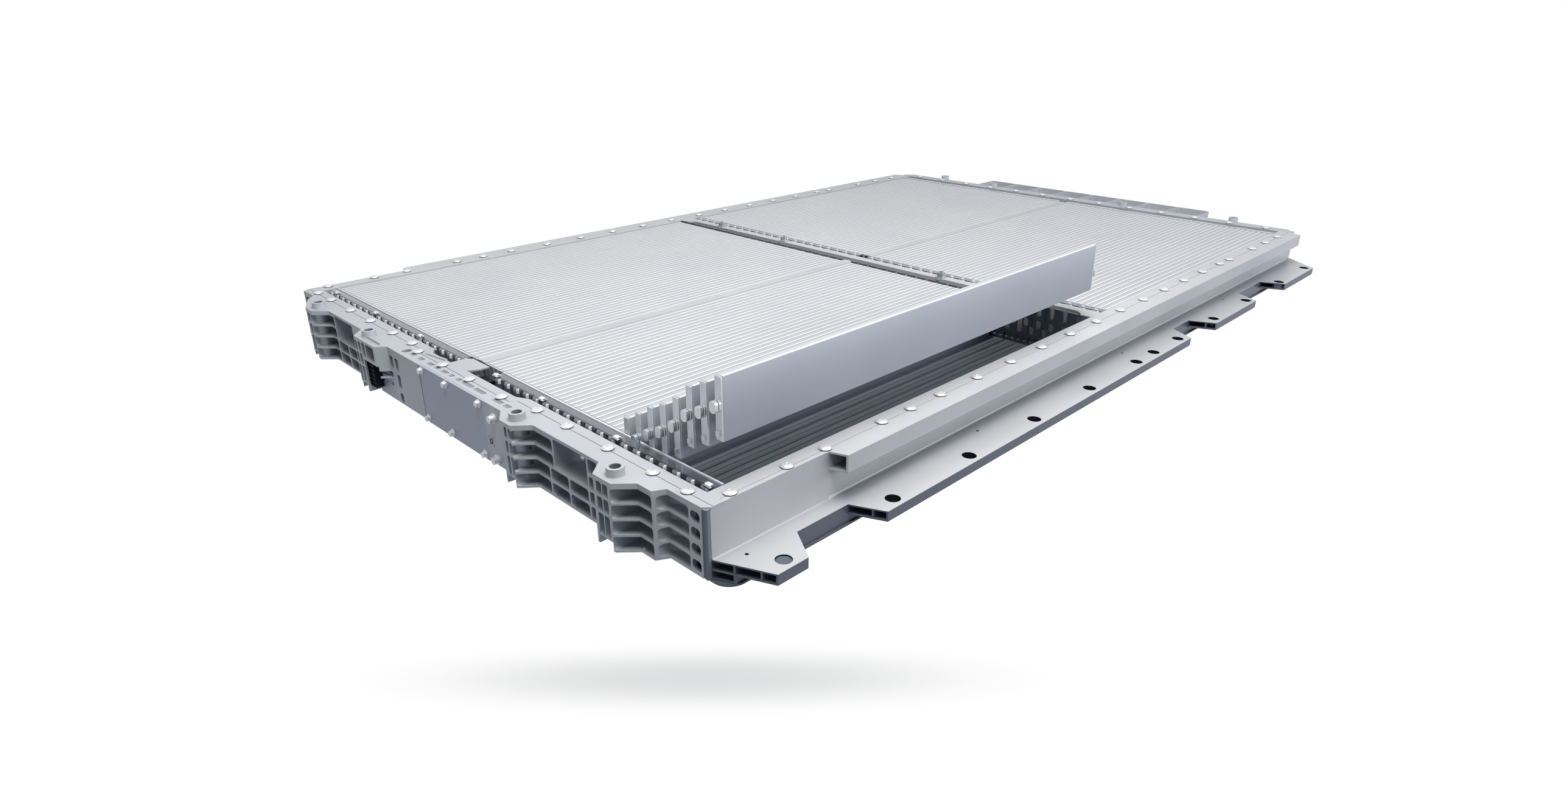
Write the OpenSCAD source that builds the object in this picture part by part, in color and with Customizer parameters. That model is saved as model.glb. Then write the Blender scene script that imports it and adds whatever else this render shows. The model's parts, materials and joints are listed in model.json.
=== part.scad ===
// Structural battery pack of an electric car, lid off, with blade cells.
// X runs along the car from the ribbed front casting (-X) to the rear tray (+X),
// Y across it, Z up. The origin is under the middle of the pack, on the ground.

/* [Cells] */
// Length of a blade cell over its two end caps
cell_l = 962; // [900:1:1000]
// Height of a blade cell
cell_h = 90; // [84:1:100]
// Thickness of a blade cell
cell_t = 13.9; // [13:0.1:16]
// Glue gap between two cells
cell_gap = 0.6; // [0.3:0.1:0.9]
// Cells in each half of a bay
cells_per_half = 43; // [40:1:46]
// Radius of the can's long edges
can_r = 2; // [0.8:0.1:3]
// Height of the lower terminal's middle above the foot of a cell
term_low = 32.7; // [28:0.1:36]
// Height of the upper terminal's middle above the foot of a cell
term_high = 49.8; // [46:0.1:56]
// Width of a terminal plate
term_w = 12.4; // [8:0.1:12.6]
// Height of a terminal plate
term_h = 17.6; // [14:0.1:20]
// How far a terminal stands out of its cap
term_out = 10.4; // [8:0.1:11]

/* [Lengthwise] */
// Step of the boss noses in front of the casting's main face
nose_step = 25; // [15:0.5:35]
// Depth of the front deck behind the main face
front_deck_d = 48.5; // [44:0.5:60]
// Busbar space in front of the front cells
front_bus_w = 31.5; // [28:0.5:40]
// Gap between the front cells and the terminal carrier
carrier_gap = 5; // [3:0.5:6]
// Width of the busbar slot between carrier and mid beam
beam_slot_w = 18; // [12:0.5:24]
// Width of the mid beam
beam_w = 23; // [16:0.5:30]
// Busbar space between mid beam and rear cells
mid_bus_w = 30; // [27:0.5:40]
// Busbar space behind the rear cells
rear_bus_w = 38.5; // [30:0.5:50]
// Depth of the rear deck
rear_deck_d = 50; // [40:0.5:60]
// Depth of the open tray behind the rear deck
tray_d = 84; // [50:1:110]

/* [Across] */
// Width of the beam between the two halves of a bay
centre_w = 25.4; // [16:0.1:34]
// Gap between the outer cells and a side rail
side_gap = 2.5; // [0.6:0.1:5]
// Width of the upright box of a side rail
rail_w = 32; // [26:0.5:40]
// How far the deck of a rail steps out over its wall
step_w = 27; // [16:0.5:40]
// Width of the mounting flange outside the rail's wall
flange_w = 83; // [70:0.5:100]

/* [Heights] */
// Thickness of the bottom plate
bottom_t = 3; // [1.5:0.1:5]
// Thickness of the bay floor
floor_t = 12.5; // [8:0.1:16]
// How far the deck stands above the cells
deck_rise = 1.5; // [0.5:0.1:5]
// Thickness of the deck plates
deck_t = 5; // [4:0.1:7]
// Height of the mounting flange's top face
flange_z = 32.2; // [30:0.1:40]
// Thickness of the mounting flange
flange_t = 16.5; // [14:0.1:18]
// Depth of the stepped out box of a rail
step_h = 28; // [12:0.5:34]
// Height of the round bosses above the deck
boss_h = 12; // [6:0.5:20]

/* [Walls] */
// Wall of the rail extrusions
rail_wall = 3; // [2:0.1:4]
// Skin of the mounting flange
flange_wall = 2.5; // [1.8:0.1:3.5]
// Rib thickness of the castings
rib = 3.5; // [2.5:0.1:5]
// Back wall of the castings behind their pockets
cast_wall = 12; // [6:0.5:16]
// Radius at the back of the castings' pockets
scoop_r = 13; // [5:0.5:16]
// Thickness of the clear busbar covers
cover_wall = 1.2; // [0.8:0.1:2]
// Thickness of the busbars
busbar_t = 2; // [1.5:0.1:3]

/* [Holes] */
// Radius of the vehicle mounting holes in the flanges
mount_r = 11.7; // [8:0.1:13]
// Radius of the locating holes in the flanges
locate_r = 2.8; // [2:0.1:5]
// Outer radius of the round bosses
boss_r = 12.6; // [11:0.1:14]
// Bore radius of the round bosses
boss_bore_r = 8.3; // [6:0.1:9.5]
// Radius of the deck bolts' shanks
bolt_r = 4; // [3:0.1:5]
// Radius of the deck bolts' domed heads
bolt_head_r = 8.2; // [6:0.1:9]

/* [Hidden] */
$fn = 48;
eps = 0.05;

// Places of the pieces along X, from the front noses back
pitch = cell_t + cell_gap;
carrier_t = term_out - carrier_gap;
total_l = nose_step + front_deck_d + front_bus_w + cell_l + carrier_gap + carrier_t
    + beam_slot_w + beam_w + mid_bus_w + cell_l + rear_bus_w + rear_deck_d + tray_d;
x_nose = -total_l / 2;
x_face = x_nose + nose_step;
x_front_in = x_face + front_deck_d;
x_cell_f0 = x_front_in + front_bus_w;
x_cell_f1 = x_cell_f0 + cell_l;
x_carrier = x_cell_f1 + carrier_gap;
x_slot = x_carrier + carrier_t;
x_beam = x_slot + beam_slot_w;
x_beam1 = x_beam + beam_w;
x_cell_r0 = x_beam1 + mid_bus_w;
x_cell_r1 = x_cell_r0 + cell_l;
x_rear_in = x_cell_r1 + rear_bus_w;
x_rear_face = x_rear_in + rear_deck_d;
x_tail = x_rear_face + tray_d;
bus_reach = term_out + busbar_t + 0.3;

// Places across
y_cells0 = centre_w / 2 + cell_gap / 2;
y_cells1 = y_cells0 + cells_per_half * pitch;
y_rail_in = y_cells1 + side_gap;
y_rail_out = y_rail_in + rail_w;
y_step = y_rail_out + step_w;
y_flange = y_rail_out + flange_w;
y_web = y_rail_out + 30;

// Places in height
z_floor = bottom_t + floor_t;
z_cells = z_floor + cell_h;
z_deck = z_cells + deck_rise;
z_deck_under = z_deck - deck_t;

// Front casting: faces of its parts, and the places of its bosses
x_cover = x_face - 7;
x_end = x_face + 18;
x_pocket = x_front_in - cast_wall;
boss_x = x_face - 4;
boss_y_out = y_rail_out - 155;
boss_y_in = 267;
cast_end = y_rail_out - 8;
window_y0 = boss_y_in + 88;
window_y1 = boss_y_out - 77;

// Four rows of pockets between the bottom plate and the deck
row_z = [for (k = [0 : 4]) bottom_t + rib + k * (z_deck_under - bottom_t - rib) / 4];

// The cells that are drawn up, from the one next to the rail inwards, are every
// second one of the open half bay. Each list entry is how far a cell is drawn up.
lifts = [149, 133, 119, 94, 76, 62, 44, 28];
open_slots = 2 * len(lifts) - 1;

// Deck bolts along the rails: an even run from the mid beam both ways, and
// uneven ones that are placed from the rail's ends
bolt_pitch = 103;
x_rail0 = x_front_in - 23.5;
x_rail1 = x_rear_in + 24;
bolt_front = [42.5, 144.5, 220.5, 344.5, 413.5];
bolt_rear = [441.5, 288.5, 195.5, 104.5];
x_run = x_beam + 63;
run_front = floor((x_run - 50 - x_rail0 - bolt_front[4]) / bolt_pitch);
run_rear = floor((x_rail1 - bolt_rear[0] - 50 - x_run) / bolt_pitch);
rail_bolt_x = concat([for (d = bolt_front) x_rail0 + d],
    [for (k = [-run_front : run_rear]) x_run + k * bolt_pitch],
    [for (d = bolt_rear) x_rail1 - d]);
rail_bolt_y = y_rail_out - 10;
front_bolt_y = concat([for (d = [49, 121, 224]) y_rail_out - d], [351, 249, 167, -262, -344],
    [for (d = [224, 123, 51]) d - y_rail_out]);
front_bolt_mid_y = [117, 23, -71, -176];
rear_bolt_gap = 100;
rear_bolts_side = floor((y_rail_in - 20) / rear_bolt_gap);
rear_bolt_y = [for (k = [-rear_bolts_side : rear_bolts_side]) k * rear_bolt_gap];
x_front_bolt = x_front_in - 16;
x_front_bolt_mid = x_front_bolt - 12;
x_rear_bolt = x_rear_in + 12;
x_rear_boss = x_rear_in + 36;

// Vehicle mounting holes and locating holes along the flanges
mount_x = concat([for (d = [64.5, 283.5, 473, 665.5]) x_rail0 + d],
    [for (d = [-187, 3, 80, 196]) x_beam + d],
    [for (d = [691.5, 496.5, 270.5, 78.5]) x_rail1 - d]);
mount_y = y_flange - 19;
locate_x = [x_rail0 + 40, x_rail0 + 558, x_beam + 29.5, x_rail1 - 526.5, x_rail1 - 45.5];
locate_y = y_rail_out + 22;

// Cut-outs between the lugs of a flange: from and to along X at the outer edge
flange_cuts = [[x_rail0 + 89.5, x_rail0 + 250.5], [x_beam + 218, x_beam + 358],
    [x_rail1 - 483.5, x_rail1 - 279.5]];
x_step0 = x_rail0 + 218;
x_step1 = x_rear_in - 12;

// Rectangle with round corners, its low corner at the origin
module round_rect(w, h, r) {
    translate([r, 0]) square([w - 2 * r, h]);
    translate([0, r]) square([w, h - 2 * r]);
    for (u = [r, w - r], v = [r, h - r]) translate([u, v]) circle(r);
}

// Upright oval, its middle at the origin
module oval(w, h) {
    for (s = [-1, 1]) translate([0, s * (h - w) / 2]) circle(w / 2);
    square([w, h - w], center = true);
}

// Lays a drawing of Y and Z in the plane x = x0 and gives it a depth towards +X
module along_x(x0, depth) {
    translate([x0, 0, 0]) rotate([90, 0, 90]) linear_extrude(depth) children();
}

// Pocket that is open to the front, with round corners as the casting tool's
// cores have. A wide one is rounded at its back too, seen from above.
module pocket(y0, y1, z0, z1, back, r = 4) {
    corner = min(r, (y1 - y0) / 2 - 0.2, (z1 - z0) / 2 - 0.2);
    scoop = min(scoop_r, (y1 - y0) / 2 - 0.2);
    x0 = x_nose - 1 - scoop;
    intersection() {
        along_x(x0, back - x0)
            translate([y0, z0]) round_rect(y1 - y0, z1 - z0, corner);
        if (y1 - y0 > 30) translate([x0, y0, z0 - 1]) linear_extrude(z1 - z0 + 2)
            round_rect(back - x0, y1 - y0, scoop);
    }
}

// Scooped pocket of a nose: its side walls run round into its back in a wide curve
module nose_pocket(y0, y1, z0, z1, back, r = 4) {
    corner = min(r, (z1 - z0) / 2 - 0.2);
    side = min(scoop_r * 1.6, (y1 - y0) / 2 - 0.2);
    x0 = x_nose - 1 - side;
    intersection() {
        along_x(x0, back - x0)
            translate([y0, z0]) round_rect(y1 - y0, z1 - z0, corner);
        translate([x0, y0, z0 - 1]) linear_extrude(z1 - z0 + 2)
            round_rect(back - x0, y1 - y0, side);
    }
}

// One blade cell, front end at x = 0, foot at z = 0, right face at y = 0.
// turned swaps its two ends, so that the lower terminal looks to the front.
module cell(turned = false) {
    cap_t = 3;
    inset = 0.7;
    front_z = turned ? term_low : term_high;
    back_z = turned ? term_high : term_low;
    color("lightsteelblue") {
        along_x(cap_t, cell_l - 2 * cap_t) round_rect(cell_t, cell_h, can_r);
        translate([0, inset, inset])
            cube([cell_l, cell_t - 2 * inset, cell_h - 2 * inset]);
        terminal(-term_out, front_z, -1);
        terminal(cell_l, back_z, 1);
        translate([-4, cell_t / 2 - 2.5, 8]) cube([4 + eps, 5, 7]);
    }
}

// Terminal: a plate on the cap, a neck and the weld plate for the busbar
module terminal(x0, z, side) {
    plate = 2.6;
    weld = 3.4;
    outer = side < 0 ? x0 : x0 + term_out - weld;
    inner = side < 0 ? x0 + term_out - plate : x0;
    translate([0, cell_t / 2, z]) {
        along_x(outer, weld) oval(term_w, term_h);
        along_x(inner, plate) oval(term_w, term_h);
        along_x(x0 - (side > 0 ? eps : 0), term_out + eps) oval(term_w - 3, term_h - 3);
    }
}

function slot_y(side, k) = side < 0 ? -y_cells1 + k * pitch + cell_gap / 2
    : y_cells1 - (k + 1) * pitch + cell_gap / 2;

// Row of seated cells in one half bay, counted from the rail inwards
module seated_cells(side, x0, first) {
    for (k = [first : cells_per_half - 1])
        translate([x0, slot_y(side, k), z_floor]) cell(k % 2 == 1);
}

// Cell that is drawn up out of its slot
module lifted_cell(n) {
    i = len(lifts) - n;
    translate([x_cell_f0, slot_y(-1, 2 * i), z_floor + lifts[i]]) cell();
}

wall_fillet = 4;

// Section of a right-hand rail in (distance from the middle, height)
module rail_section() {
    w = rail_wall;
    s = flange_wall;
    flange_z0 = flange_z - flange_t;
    mid = (flange_z + z_deck) / 2;
    difference() {
        union() {
            translate([y_rail_in, bottom_t]) square([rail_w, z_deck - bottom_t]);
            translate([y_rail_out - 1, z_deck - step_h]) square([step_w + 1, step_h]);
            translate([y_rail_out - 1, flange_z0]) square([flange_w + 1, flange_t]);
            translate([y_rail_out - 1, bottom_t])
                square([y_web - y_rail_out + 1, flange_z0 - bottom_t + 1]);
            // Fillet between the wall and the flange
            difference() {
                translate([y_rail_out - 1, flange_z - 1]) square(wall_fillet + 1);
                translate([y_rail_out + wall_fillet, flange_z + wall_fillet])
                    circle(wall_fillet);
            }
        }
        // Shallow groove along the deck, in line with the bolts
        translate([rail_bolt_y + 1.5, z_deck - 0.8]) square([1.2, 1]);
        translate([y_rail_in + w, bottom_t + w])
            square([rail_w - 2 * w, flange_z - bottom_t - 2 * w]);
        translate([y_rail_in + w, flange_z])
            square([rail_w - 2 * w, mid - flange_z - w / 2]);
        translate([y_rail_in + w, mid + w / 2])
            square([rail_w - 2 * w, z_deck - w - mid - w / 2]);
        translate([y_rail_out, z_deck - step_h + w]) square([step_w - w, step_h - 2 * w]);
        translate([y_rail_out, flange_z0 + s])
            square([y_web - y_rail_out - s, flange_t - 2 * s]);
        translate([y_web, flange_z0 + s])
            square([mount_y - y_web - s, flange_t - 2 * s]);
        translate([mount_y, flange_z0 + s])
            square([y_flange - mount_y - s, flange_t - 2 * s]);
        translate([y_rail_out, bottom_t + s])
            square([y_web - y_rail_out - s, flange_z0 - bottom_t - s]);
    }
}

// Wedge that cuts a flange between two lugs, or bevels one of its ends
module flange_cut(points, z0, z1) {
    translate([0, 0, z0]) linear_extrude(z1 - z0) polygon(points);
}

module side_rail() {
    far = y_flange + 1;
    base0 = bottom_t - 1;
    base1 = flange_z + 1;
    color("silver") difference() {
        union() {
            along_x(x_rail0, x_rail1 - x_rail0) rail_section();
            for (x = mount_x) translate([x, mount_y, flange_z - flange_t])
                cylinder(h = flange_t, r = mount_r + 3);
        }
        // The stepped out box starts and ends on a slant
        flange_cut([[x_rail0 - 1, y_rail_out], [x_step0, y_rail_out],
            [x_step0 + 10, y_step + 1], [x_rail0 - 1, y_step + 1]], flange_z + 1, z_deck + 1);
        flange_cut([[x_step1 + 14, y_rail_out], [x_rail1 + 1, y_rail_out],
            [x_rail1 + 1, y_step + 1], [x_step1, y_step + 1]], flange_z + 1, z_deck + 1);
        // Lugs: bevelled ends and open stretches between them
        flange_cut([[x_rail0 - 1, y_rail_out], [x_rail0, y_rail_out],
            [x_rail0 + 36, far], [x_rail0 - 1, far]], base0, base1);
        flange_cut([[x_rail1 + 1, y_rail_out + 6], [x_rail1, y_rail_out + 6],
            [x_rail1 - 66, far], [x_rail1 + 1, far]], base0, base1);
        for (c = flange_cuts)
            flange_cut([[c[0], far], [c[0] + 34, y_web], [c[1] - 24, y_web],
                [c[1], far]], base0, base1);
        for (x = mount_x) translate([x, mount_y, base0])
            cylinder(h = base1 - base0, r = mount_r);
        for (x = locate_x) translate([x, locate_y, flange_z - flange_t - 1])
            cylinder(h = flange_t + 2, r = locate_r);
        // Both castings' decks lie over the ends of the rail
        translate([x_rail0 - 1, y_rail_in - 1, z_deck_under])
            cube([x_front_in - x_rail0 + 1, rail_w + 2, deck_t + 1]);
        translate([x_rear_in, y_rail_in - 1, z_deck_under])
            cube([x_rail1 - x_rear_in + 1, rail_w + 2, deck_t + 1]);
        for (x = rail_bolt_x) translate([x, rail_bolt_y, z_deck - 20])
            cylinder(h = 21, r = bolt_r + 0.3);
    }
}

// Outline of the front casting's deck, from its left end to its right one
function cast_front(end) = [
    [x_end, end], [x_end, boss_y_out + 96], [x_face, boss_y_out + 75],
    [x_nose, boss_y_out + 18], [x_nose, boss_y_out - 14], [x_face, boss_y_out - 40],
    [x_face, boss_y_in + 49], [x_nose, boss_y_in + 22], [x_nose, boss_y_in - 67],
    [x_cover, boss_y_in - 82], [x_cover, -boss_y_in + 45], [x_nose, -boss_y_in + 16],
    [x_nose, -boss_y_in - 14], [x_face, -boss_y_in - 36], [x_face, -boss_y_out + 45],
    [x_nose, -boss_y_out + 23], [x_nose, -boss_y_out - 17], [x_face, -boss_y_out - 41],
    [x_face, -boss_y_out - 70], [x_end, -boss_y_out - 80], [x_end, -end]];

// Inner edge of the deck, which steps forward beside the cover
deck_notch = 11;
cast_back = [[x_front_in, -y_rail_in], [x_front_in, -215],
    [x_front_in - deck_notch, -190], [x_front_in - deck_notch, 95],
    [x_front_in, 112], [x_front_in, y_rail_in]];

// The clear front covers start to the left and right of the link bracket
link_y0 = 31;
link_y1 = 80;

// Narrow pockets of a boss column: three rows, the lowest one tall
module column_pockets(y0, y1) {
    for (z = [[19, 52], [56, 77], [81, z_deck_under - 2]])
        pocket(y0, y1, z[0], z[1], x_face + 8, 3);
}

// Stack of four pockets between two upright ribs
module pocket_stack(y0, y1, rows = [0, 1, 2, 3]) {
    for (k = rows) pocket(y0, y1, row_z[k], row_z[k + 1] - rib, x_pocket, 5);
}

module nose_stack(y0, y1, rows = [0, 1, 2, 3]) {
    for (k = rows) nose_pocket(y0, y1, row_z[k], row_z[k + 1] - rib, x_pocket, 5);
}

// Shallow dimples at the casting's ends, one in each row
module end_dimples(y0, y1) {
    for (k = [0 : 3]) pocket(y0, y1, row_z[k] + 2, row_z[k + 1] - rib - 2, x_end + 12, 6);
}

module front_pockets() {
    // Right half, from the cover towards the rail
    for (y = [-boss_y_in + 6, -boss_y_in - 5]) column_pockets(y - 7.5, y);
    nose_stack(-boss_y_in - 84, -boss_y_in - 12, [2, 3]);
    nose_stack(-boss_y_in - 71, -boss_y_in - 12, [0, 1]);
    pocket(-window_y1, -window_y0, row_z[2], z_deck_under, x_pocket + 4);
    translate([x_pocket, -window_y1 + 33, 89]) rotate([0, 90, 0]) cylinder(h = 12, r = 2);
    pocket_stack(-window_y0 - 33, -boss_y_in - 74.5, [0, 1]);
    pocket_stack(-window_y1 + 1, -window_y0 - 36.5, [0, 1]);
    pocket_stack(-window_y1 - 15, -window_y1 - 3, [0, 1, 2]);
    pocket(-window_y1 - 26, -window_y1 - 3.5, row_z[3], z_deck_under, x_pocket);
    for (y = [-boss_y_out + 17, -boss_y_out + 3]) column_pockets(y - 12, y);
    nose_stack(-boss_y_out - 69, -boss_y_out - 14);
    pocket_stack(-y_rail_out + 33.5, -boss_y_out - 72.5);
    end_dimples(-y_rail_out + 12, -y_rail_out + 30);
    // Left half, from the rail towards the cover
    end_dimples(y_rail_out - 30, y_rail_out - 12);
    pocket_stack(boss_y_out + 72.5, y_rail_out - 33.5);
    nose_stack(boss_y_out + 28, boss_y_out + 69);
    for (y = [boss_y_out + 12, boss_y_out - 1]) column_pockets(y, y + 11);
    nose_stack(boss_y_out - 60, boss_y_out - 4);
    pocket(boss_y_in + 97, boss_y_out - 64, row_z[2], z_deck_under, x_pocket + 4);
    for (y = [[boss_y_in + 97, boss_y_in + 135], [boss_y_in + 138.5, boss_y_out - 64]])
        pocket_stack(y[0], y[1], [0, 1]);
    for (y = [279, 263]) column_pockets(y, y + 9 + (279 - y) / 5);
    pocket(245, 258, 74.5, z_deck_under, x_pocket);
    pocket(206, 241, 74.5, z_deck_under, x_pocket);
    for (y = [[147, 160], [168, 182]]) pocket(y[0], y[1], 68, 92, x_pocket);
    for (z = [[6, 24], [34, 60]]) pocket(147, 160, z[0], z[1], x_pocket);
}

// Seats that are cut in the casting for the cover, the connector and the ports
cover_y0 = -163;
cover_y1 = 58;
cover_z0 = 0.6;
cover_t = 4;
cover_screw = [for (y = [48, -40, -152], z = [9, z_deck - 9]) [y, z]];
stud_spots = [[-198, z_deck - 20], [-194, 14]];
port_y = [229, 189];
port_z = 33;
port_r = 5.1;
port_l = 20;
screw_r = 2.9;
screw_l = 12;
port_plate_y0 = 175;
port_plate_y1 = 247;
port_plate_h = 42;
conn_y0 = 199;
conn_y1 = 256;
conn_z0 = 15;
conn_z1 = 68;
seat_gap = 0.3;
x_seat = x_face - 2;

module front_seats() {
    // Rebate of the cover and the chamber behind it
    translate([x_cover - 1, cover_y0 - 0.3, bottom_t - 1])
        cube([cover_t + 1, cover_y1 - cover_y0 + 0.6, z_deck - bottom_t + 2]);
    translate([x_cover, cover_y0 + 14, bottom_t + 12])
        cube([30, cover_y1 - cover_y0 - 28, z_deck_under - bottom_t - 24]);
    for (p = cover_screw) translate([x_cover, p[0], p[1]]) rotate([0, 90, 0])
        cylinder(h = screw_l + 2, r = screw_r + 0.1);
    // Seats of the port plate and of the connector, with the slot between them
    translate([x_nose - 1, port_plate_y0 - seat_gap, bottom_t - 1])
        cube([x_seat - x_nose + 1, port_plate_y1 - port_plate_y0 + 2 * seat_gap,
            port_plate_h + 1 + seat_gap]);
    translate([x_nose - 1, port_plate_y0 + 3, bottom_t + port_plate_h + 4])
        cube([nose_step + 12, port_plate_y1 - port_plate_y0 - 3, 10]);
    translate([x_nose - 1, conn_y0 - 1, bottom_t - 1])
        cube([x_seat - x_nose + 1, conn_y1 - conn_y0 + 3, conn_z1 - bottom_t + 1.3]);
    for (y = port_y) translate([x_seat - 1, y, port_z]) rotate([0, 90, 0])
        cylinder(h = port_l - 2, r = port_r + 0.3);
    for (p = stud_spots) translate([x_cover - 1, p[0], p[1]]) rotate([0, 90, 0])
        cylinder(h = 12, r = 3.2);
}

module boss_column(y) {
    translate([boss_x, y, bottom_t]) cylinder(h = z_deck + boss_h - bottom_t, r = boss_r);
}
module front_casting() {
    end_pad = cast_end;
    bosses = [-boss_y_out, -boss_y_in, boss_y_in, boss_y_out];
    color("gainsboro") difference() {
        union() {
            translate([0, 0, bottom_t]) linear_extrude(z_deck - bottom_t)
                polygon(concat(cast_front(end_pad), [[x_rail0, -end_pad],
                    [x_rail0, -y_rail_in]], cast_back,
                    [[x_rail0, y_rail_in], [x_rail0, end_pad]]));
            for (y = bosses) boss_column(y);
            for (s = [-1, 1]) scale([1, s, 1])
                translate([0, 0, z_deck_under]) linear_extrude(deck_t)
                    polygon([[x_front_in, y_rail_in - 1], [x_front_in, y_rail_out],
                        [x_end + corner_cut, y_rail_out], [x_end, y_rail_out - corner_cut],
                        [x_end, y_rail_in - 1]]);
            // Raised lip that runs from the second boss along the shelf
            translate([x_nose + 12, boss_y_in - 66, z_deck - 1])
                cube([3, 66 - boss_r, 5]);
        }
        // The bosses run down through the pockets as round columns
        difference() {
            front_pockets();
            for (y = bosses) boss_column(y);
        }
        front_seats();
        for (y = bosses) translate([boss_x, y, bottom_t - 1])
            cylinder(h = z_deck + boss_h, r = boss_bore_r);
        translate([x_face + 9, 138, bottom_t + 20]) cylinder(h = 100, r = boss_bore_r);
        for (y = front_bolt_y) translate([x_front_bolt, y, z_deck_under - 12])
            cylinder(h = deck_t + 13, r = bolt_r + 0.3);
        for (y = front_bolt_mid_y) translate([x_front_bolt_mid, y, z_deck_under - 12])
            cylinder(h = deck_t + 13, r = bolt_r + 0.3);
        deck_recesses();
        deck_seam();
        foot_cuts();
        nose_holes();
    }
}

// Cut-off corner of the front deck over each rail
corner_cut = 9;

// Groove where the lid's seal ends: it runs in front of the bolts and steps
// forward beside the cover
seam_w = 1.4;
module deck_seam() {
    x_side = x_front_in - 18.7;
    x_mid = x_front_in - 28.9;
    y0 = -200;
    y1 = 105;
    translate([0, 0, z_deck - 0.9]) linear_extrude(2) {
        translate([x_side, -y_rail_out - 1]) square([seam_w, y_rail_out + 1 + y0 - 8]);
        translate([x_side, y1 + 8]) square([seam_w, y_rail_out - y1 - 7]);
        translate([x_mid, y0]) square([seam_w, y1 - y0]);
        polygon([[x_mid, y0], [x_side, y0 - 8], [x_side + seam_w, y0 - 8],
            [x_mid + seam_w, y0]]);
        polygon([[x_mid, y1], [x_side, y1 + 8], [x_side + seam_w, y1 + 8],
            [x_mid + seam_w, y1]]);
    }
}

// Drain holes in the floors of the outer noses
module nose_holes() {
    for (y = [-boss_y_out - 40, boss_y_out + 48])
        translate([x_face + 4, y, bottom_t - 1]) cylinder(h = 12, r = 3);
}

// Shallow recesses in a row on the deck above the cover
module deck_recesses() {
    for (r = [[112, 16], [80, 18], [44, 20], [18, 14], [-8, 20], [-32, 12],
            [-58, 14], [-88, 34], [-128, 34], [-186, 26], [-214, 18]])
        translate([x_cover + 12, r[0] - r[1] / 2, z_deck - 1.6])
            linear_extrude(2) round_rect(8, r[1], 2);
}

// The boss columns stand back above the bottom plate
foot_d = 14;
foot_h = 14.5;
module foot_cuts() {
    for (y = [[-boss_y_in - 11, -boss_y_in + 13], [-boss_y_out - 13, -boss_y_out + 19],
            [boss_y_out - 3, boss_y_out + 25], [boss_y_in - 5, boss_y_in + 24]])
        translate([x_nose - 1, y[0], bottom_t - 1])
            cube([foot_d, y[1] - y[0], foot_h]);
}

// Rear casting: deck, back wall with upright ribs, and the open tray behind it
tray_y0 = -395;
tray_y1 = 368;
rear_boss_y = [-502, -168, 303, 506];

module rear_casting() {
    x_back = x_rear_in + 40;
    bays = 8;
    bay = (tray_y1 - tray_y0) / bays;
    tray_z0 = z_deck - 34;
    end_pad = cast_end;
    color("gainsboro") difference() {
        union() {
            translate([0, 0, bottom_t]) linear_extrude(z_deck - bottom_t)
                polygon([[x_rear_in, -y_rail_in], [x_rail1, -y_rail_in],
                    [x_rail1, -end_pad], [x_back, -end_pad + 14], [x_back, end_pad - 14],
                    [x_rail1, end_pad], [x_rail1, y_rail_in], [x_rear_in, y_rail_in]]);
            for (s = [-1, 1]) scale([1, s, 1])
                translate([x_rear_in, y_rail_in - 1, z_deck_under])
                    cube([x_rail1 - x_rear_in + 1, rail_w + 1, deck_t]);
            translate([x_back - 1, tray_y0, tray_z0])
                cube([x_tail - x_back + 1, tray_y1 - tray_y0, z_deck - tray_z0]);
            for (y = rear_boss_y) translate([x_rear_boss, y, bottom_t])
                cylinder(h = z_deck + boss_h - bottom_t, r = boss_r);
        }
        // Open pockets of the tray
        for (k = [0 : bays - 1])
            translate([x_back + rib, tray_y0 + k * bay + rib / 2, tray_z0 + rib])
                linear_extrude(z_deck - tray_z0)
                    round_rect(x_tail - x_back - 2 * rib, bay - rib, 6);
        // Pockets of the back wall, open to the rear under the tray and beside it
        for (k = [-6 : 5])
            rear_pocket(k * 98 + 52, 84, row_z[0], row_z[2] - rib, x_back);
        for (y = [-575, -445, 430, 575])
            rear_pocket(y, 70, row_z[2], z_deck_under - rib, x_back);
        for (y = rear_boss_y) translate([x_rear_boss, y, bottom_t - 1])
            cylinder(h = z_deck + boss_h, r = boss_bore_r);
        for (y = rear_bolt_y) translate([x_rear_bolt, y, z_deck_under - 12])
            cylinder(h = deck_t + 13, r = bolt_r + 0.3);
    }
}

module rear_pocket(y, w, z0, z1, x_back) {
    along_x(x_rear_in + 18, x_back - x_rear_in)
        translate([y - w / 2, z0]) round_rect(w, z1 - z0, 5);
}

// Mid beam: a hollow extrusion across the pack with a bracket at each end
module mid_beam() {
    w = rail_wall;
    half = y_rail_in;
    color("lightgray") difference() {
        union() {
            translate([x_beam, -half, bottom_t]) cube([beam_w, 2 * half, z_deck - bottom_t]);
            for (s = [-1, 1]) scale([1, s, 1]) beam_bracket();
            for (y = sleeve_y) translate([x_beam + beam_w / 2, y, z_deck_under])
                cylinder(h = deck_t, r = pad_r);
        }
        translate([x_beam + w, -half - 1, bottom_t + w])
            cube([beam_w - 2 * w, 2 * half + 2, 40]);
        translate([x_beam + w, -half - 1, bottom_t + 2 * w + 40])
            cube([beam_w - 2 * w, 2 * half + 2, z_deck - bottom_t - 3 * w - 40]);
        for (y = sleeve_y) translate([x_beam + beam_w / 2, y, bottom_t - 1])
            cylinder(h = z_deck, r = sleeve_r + 0.3);
    }
}

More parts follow.
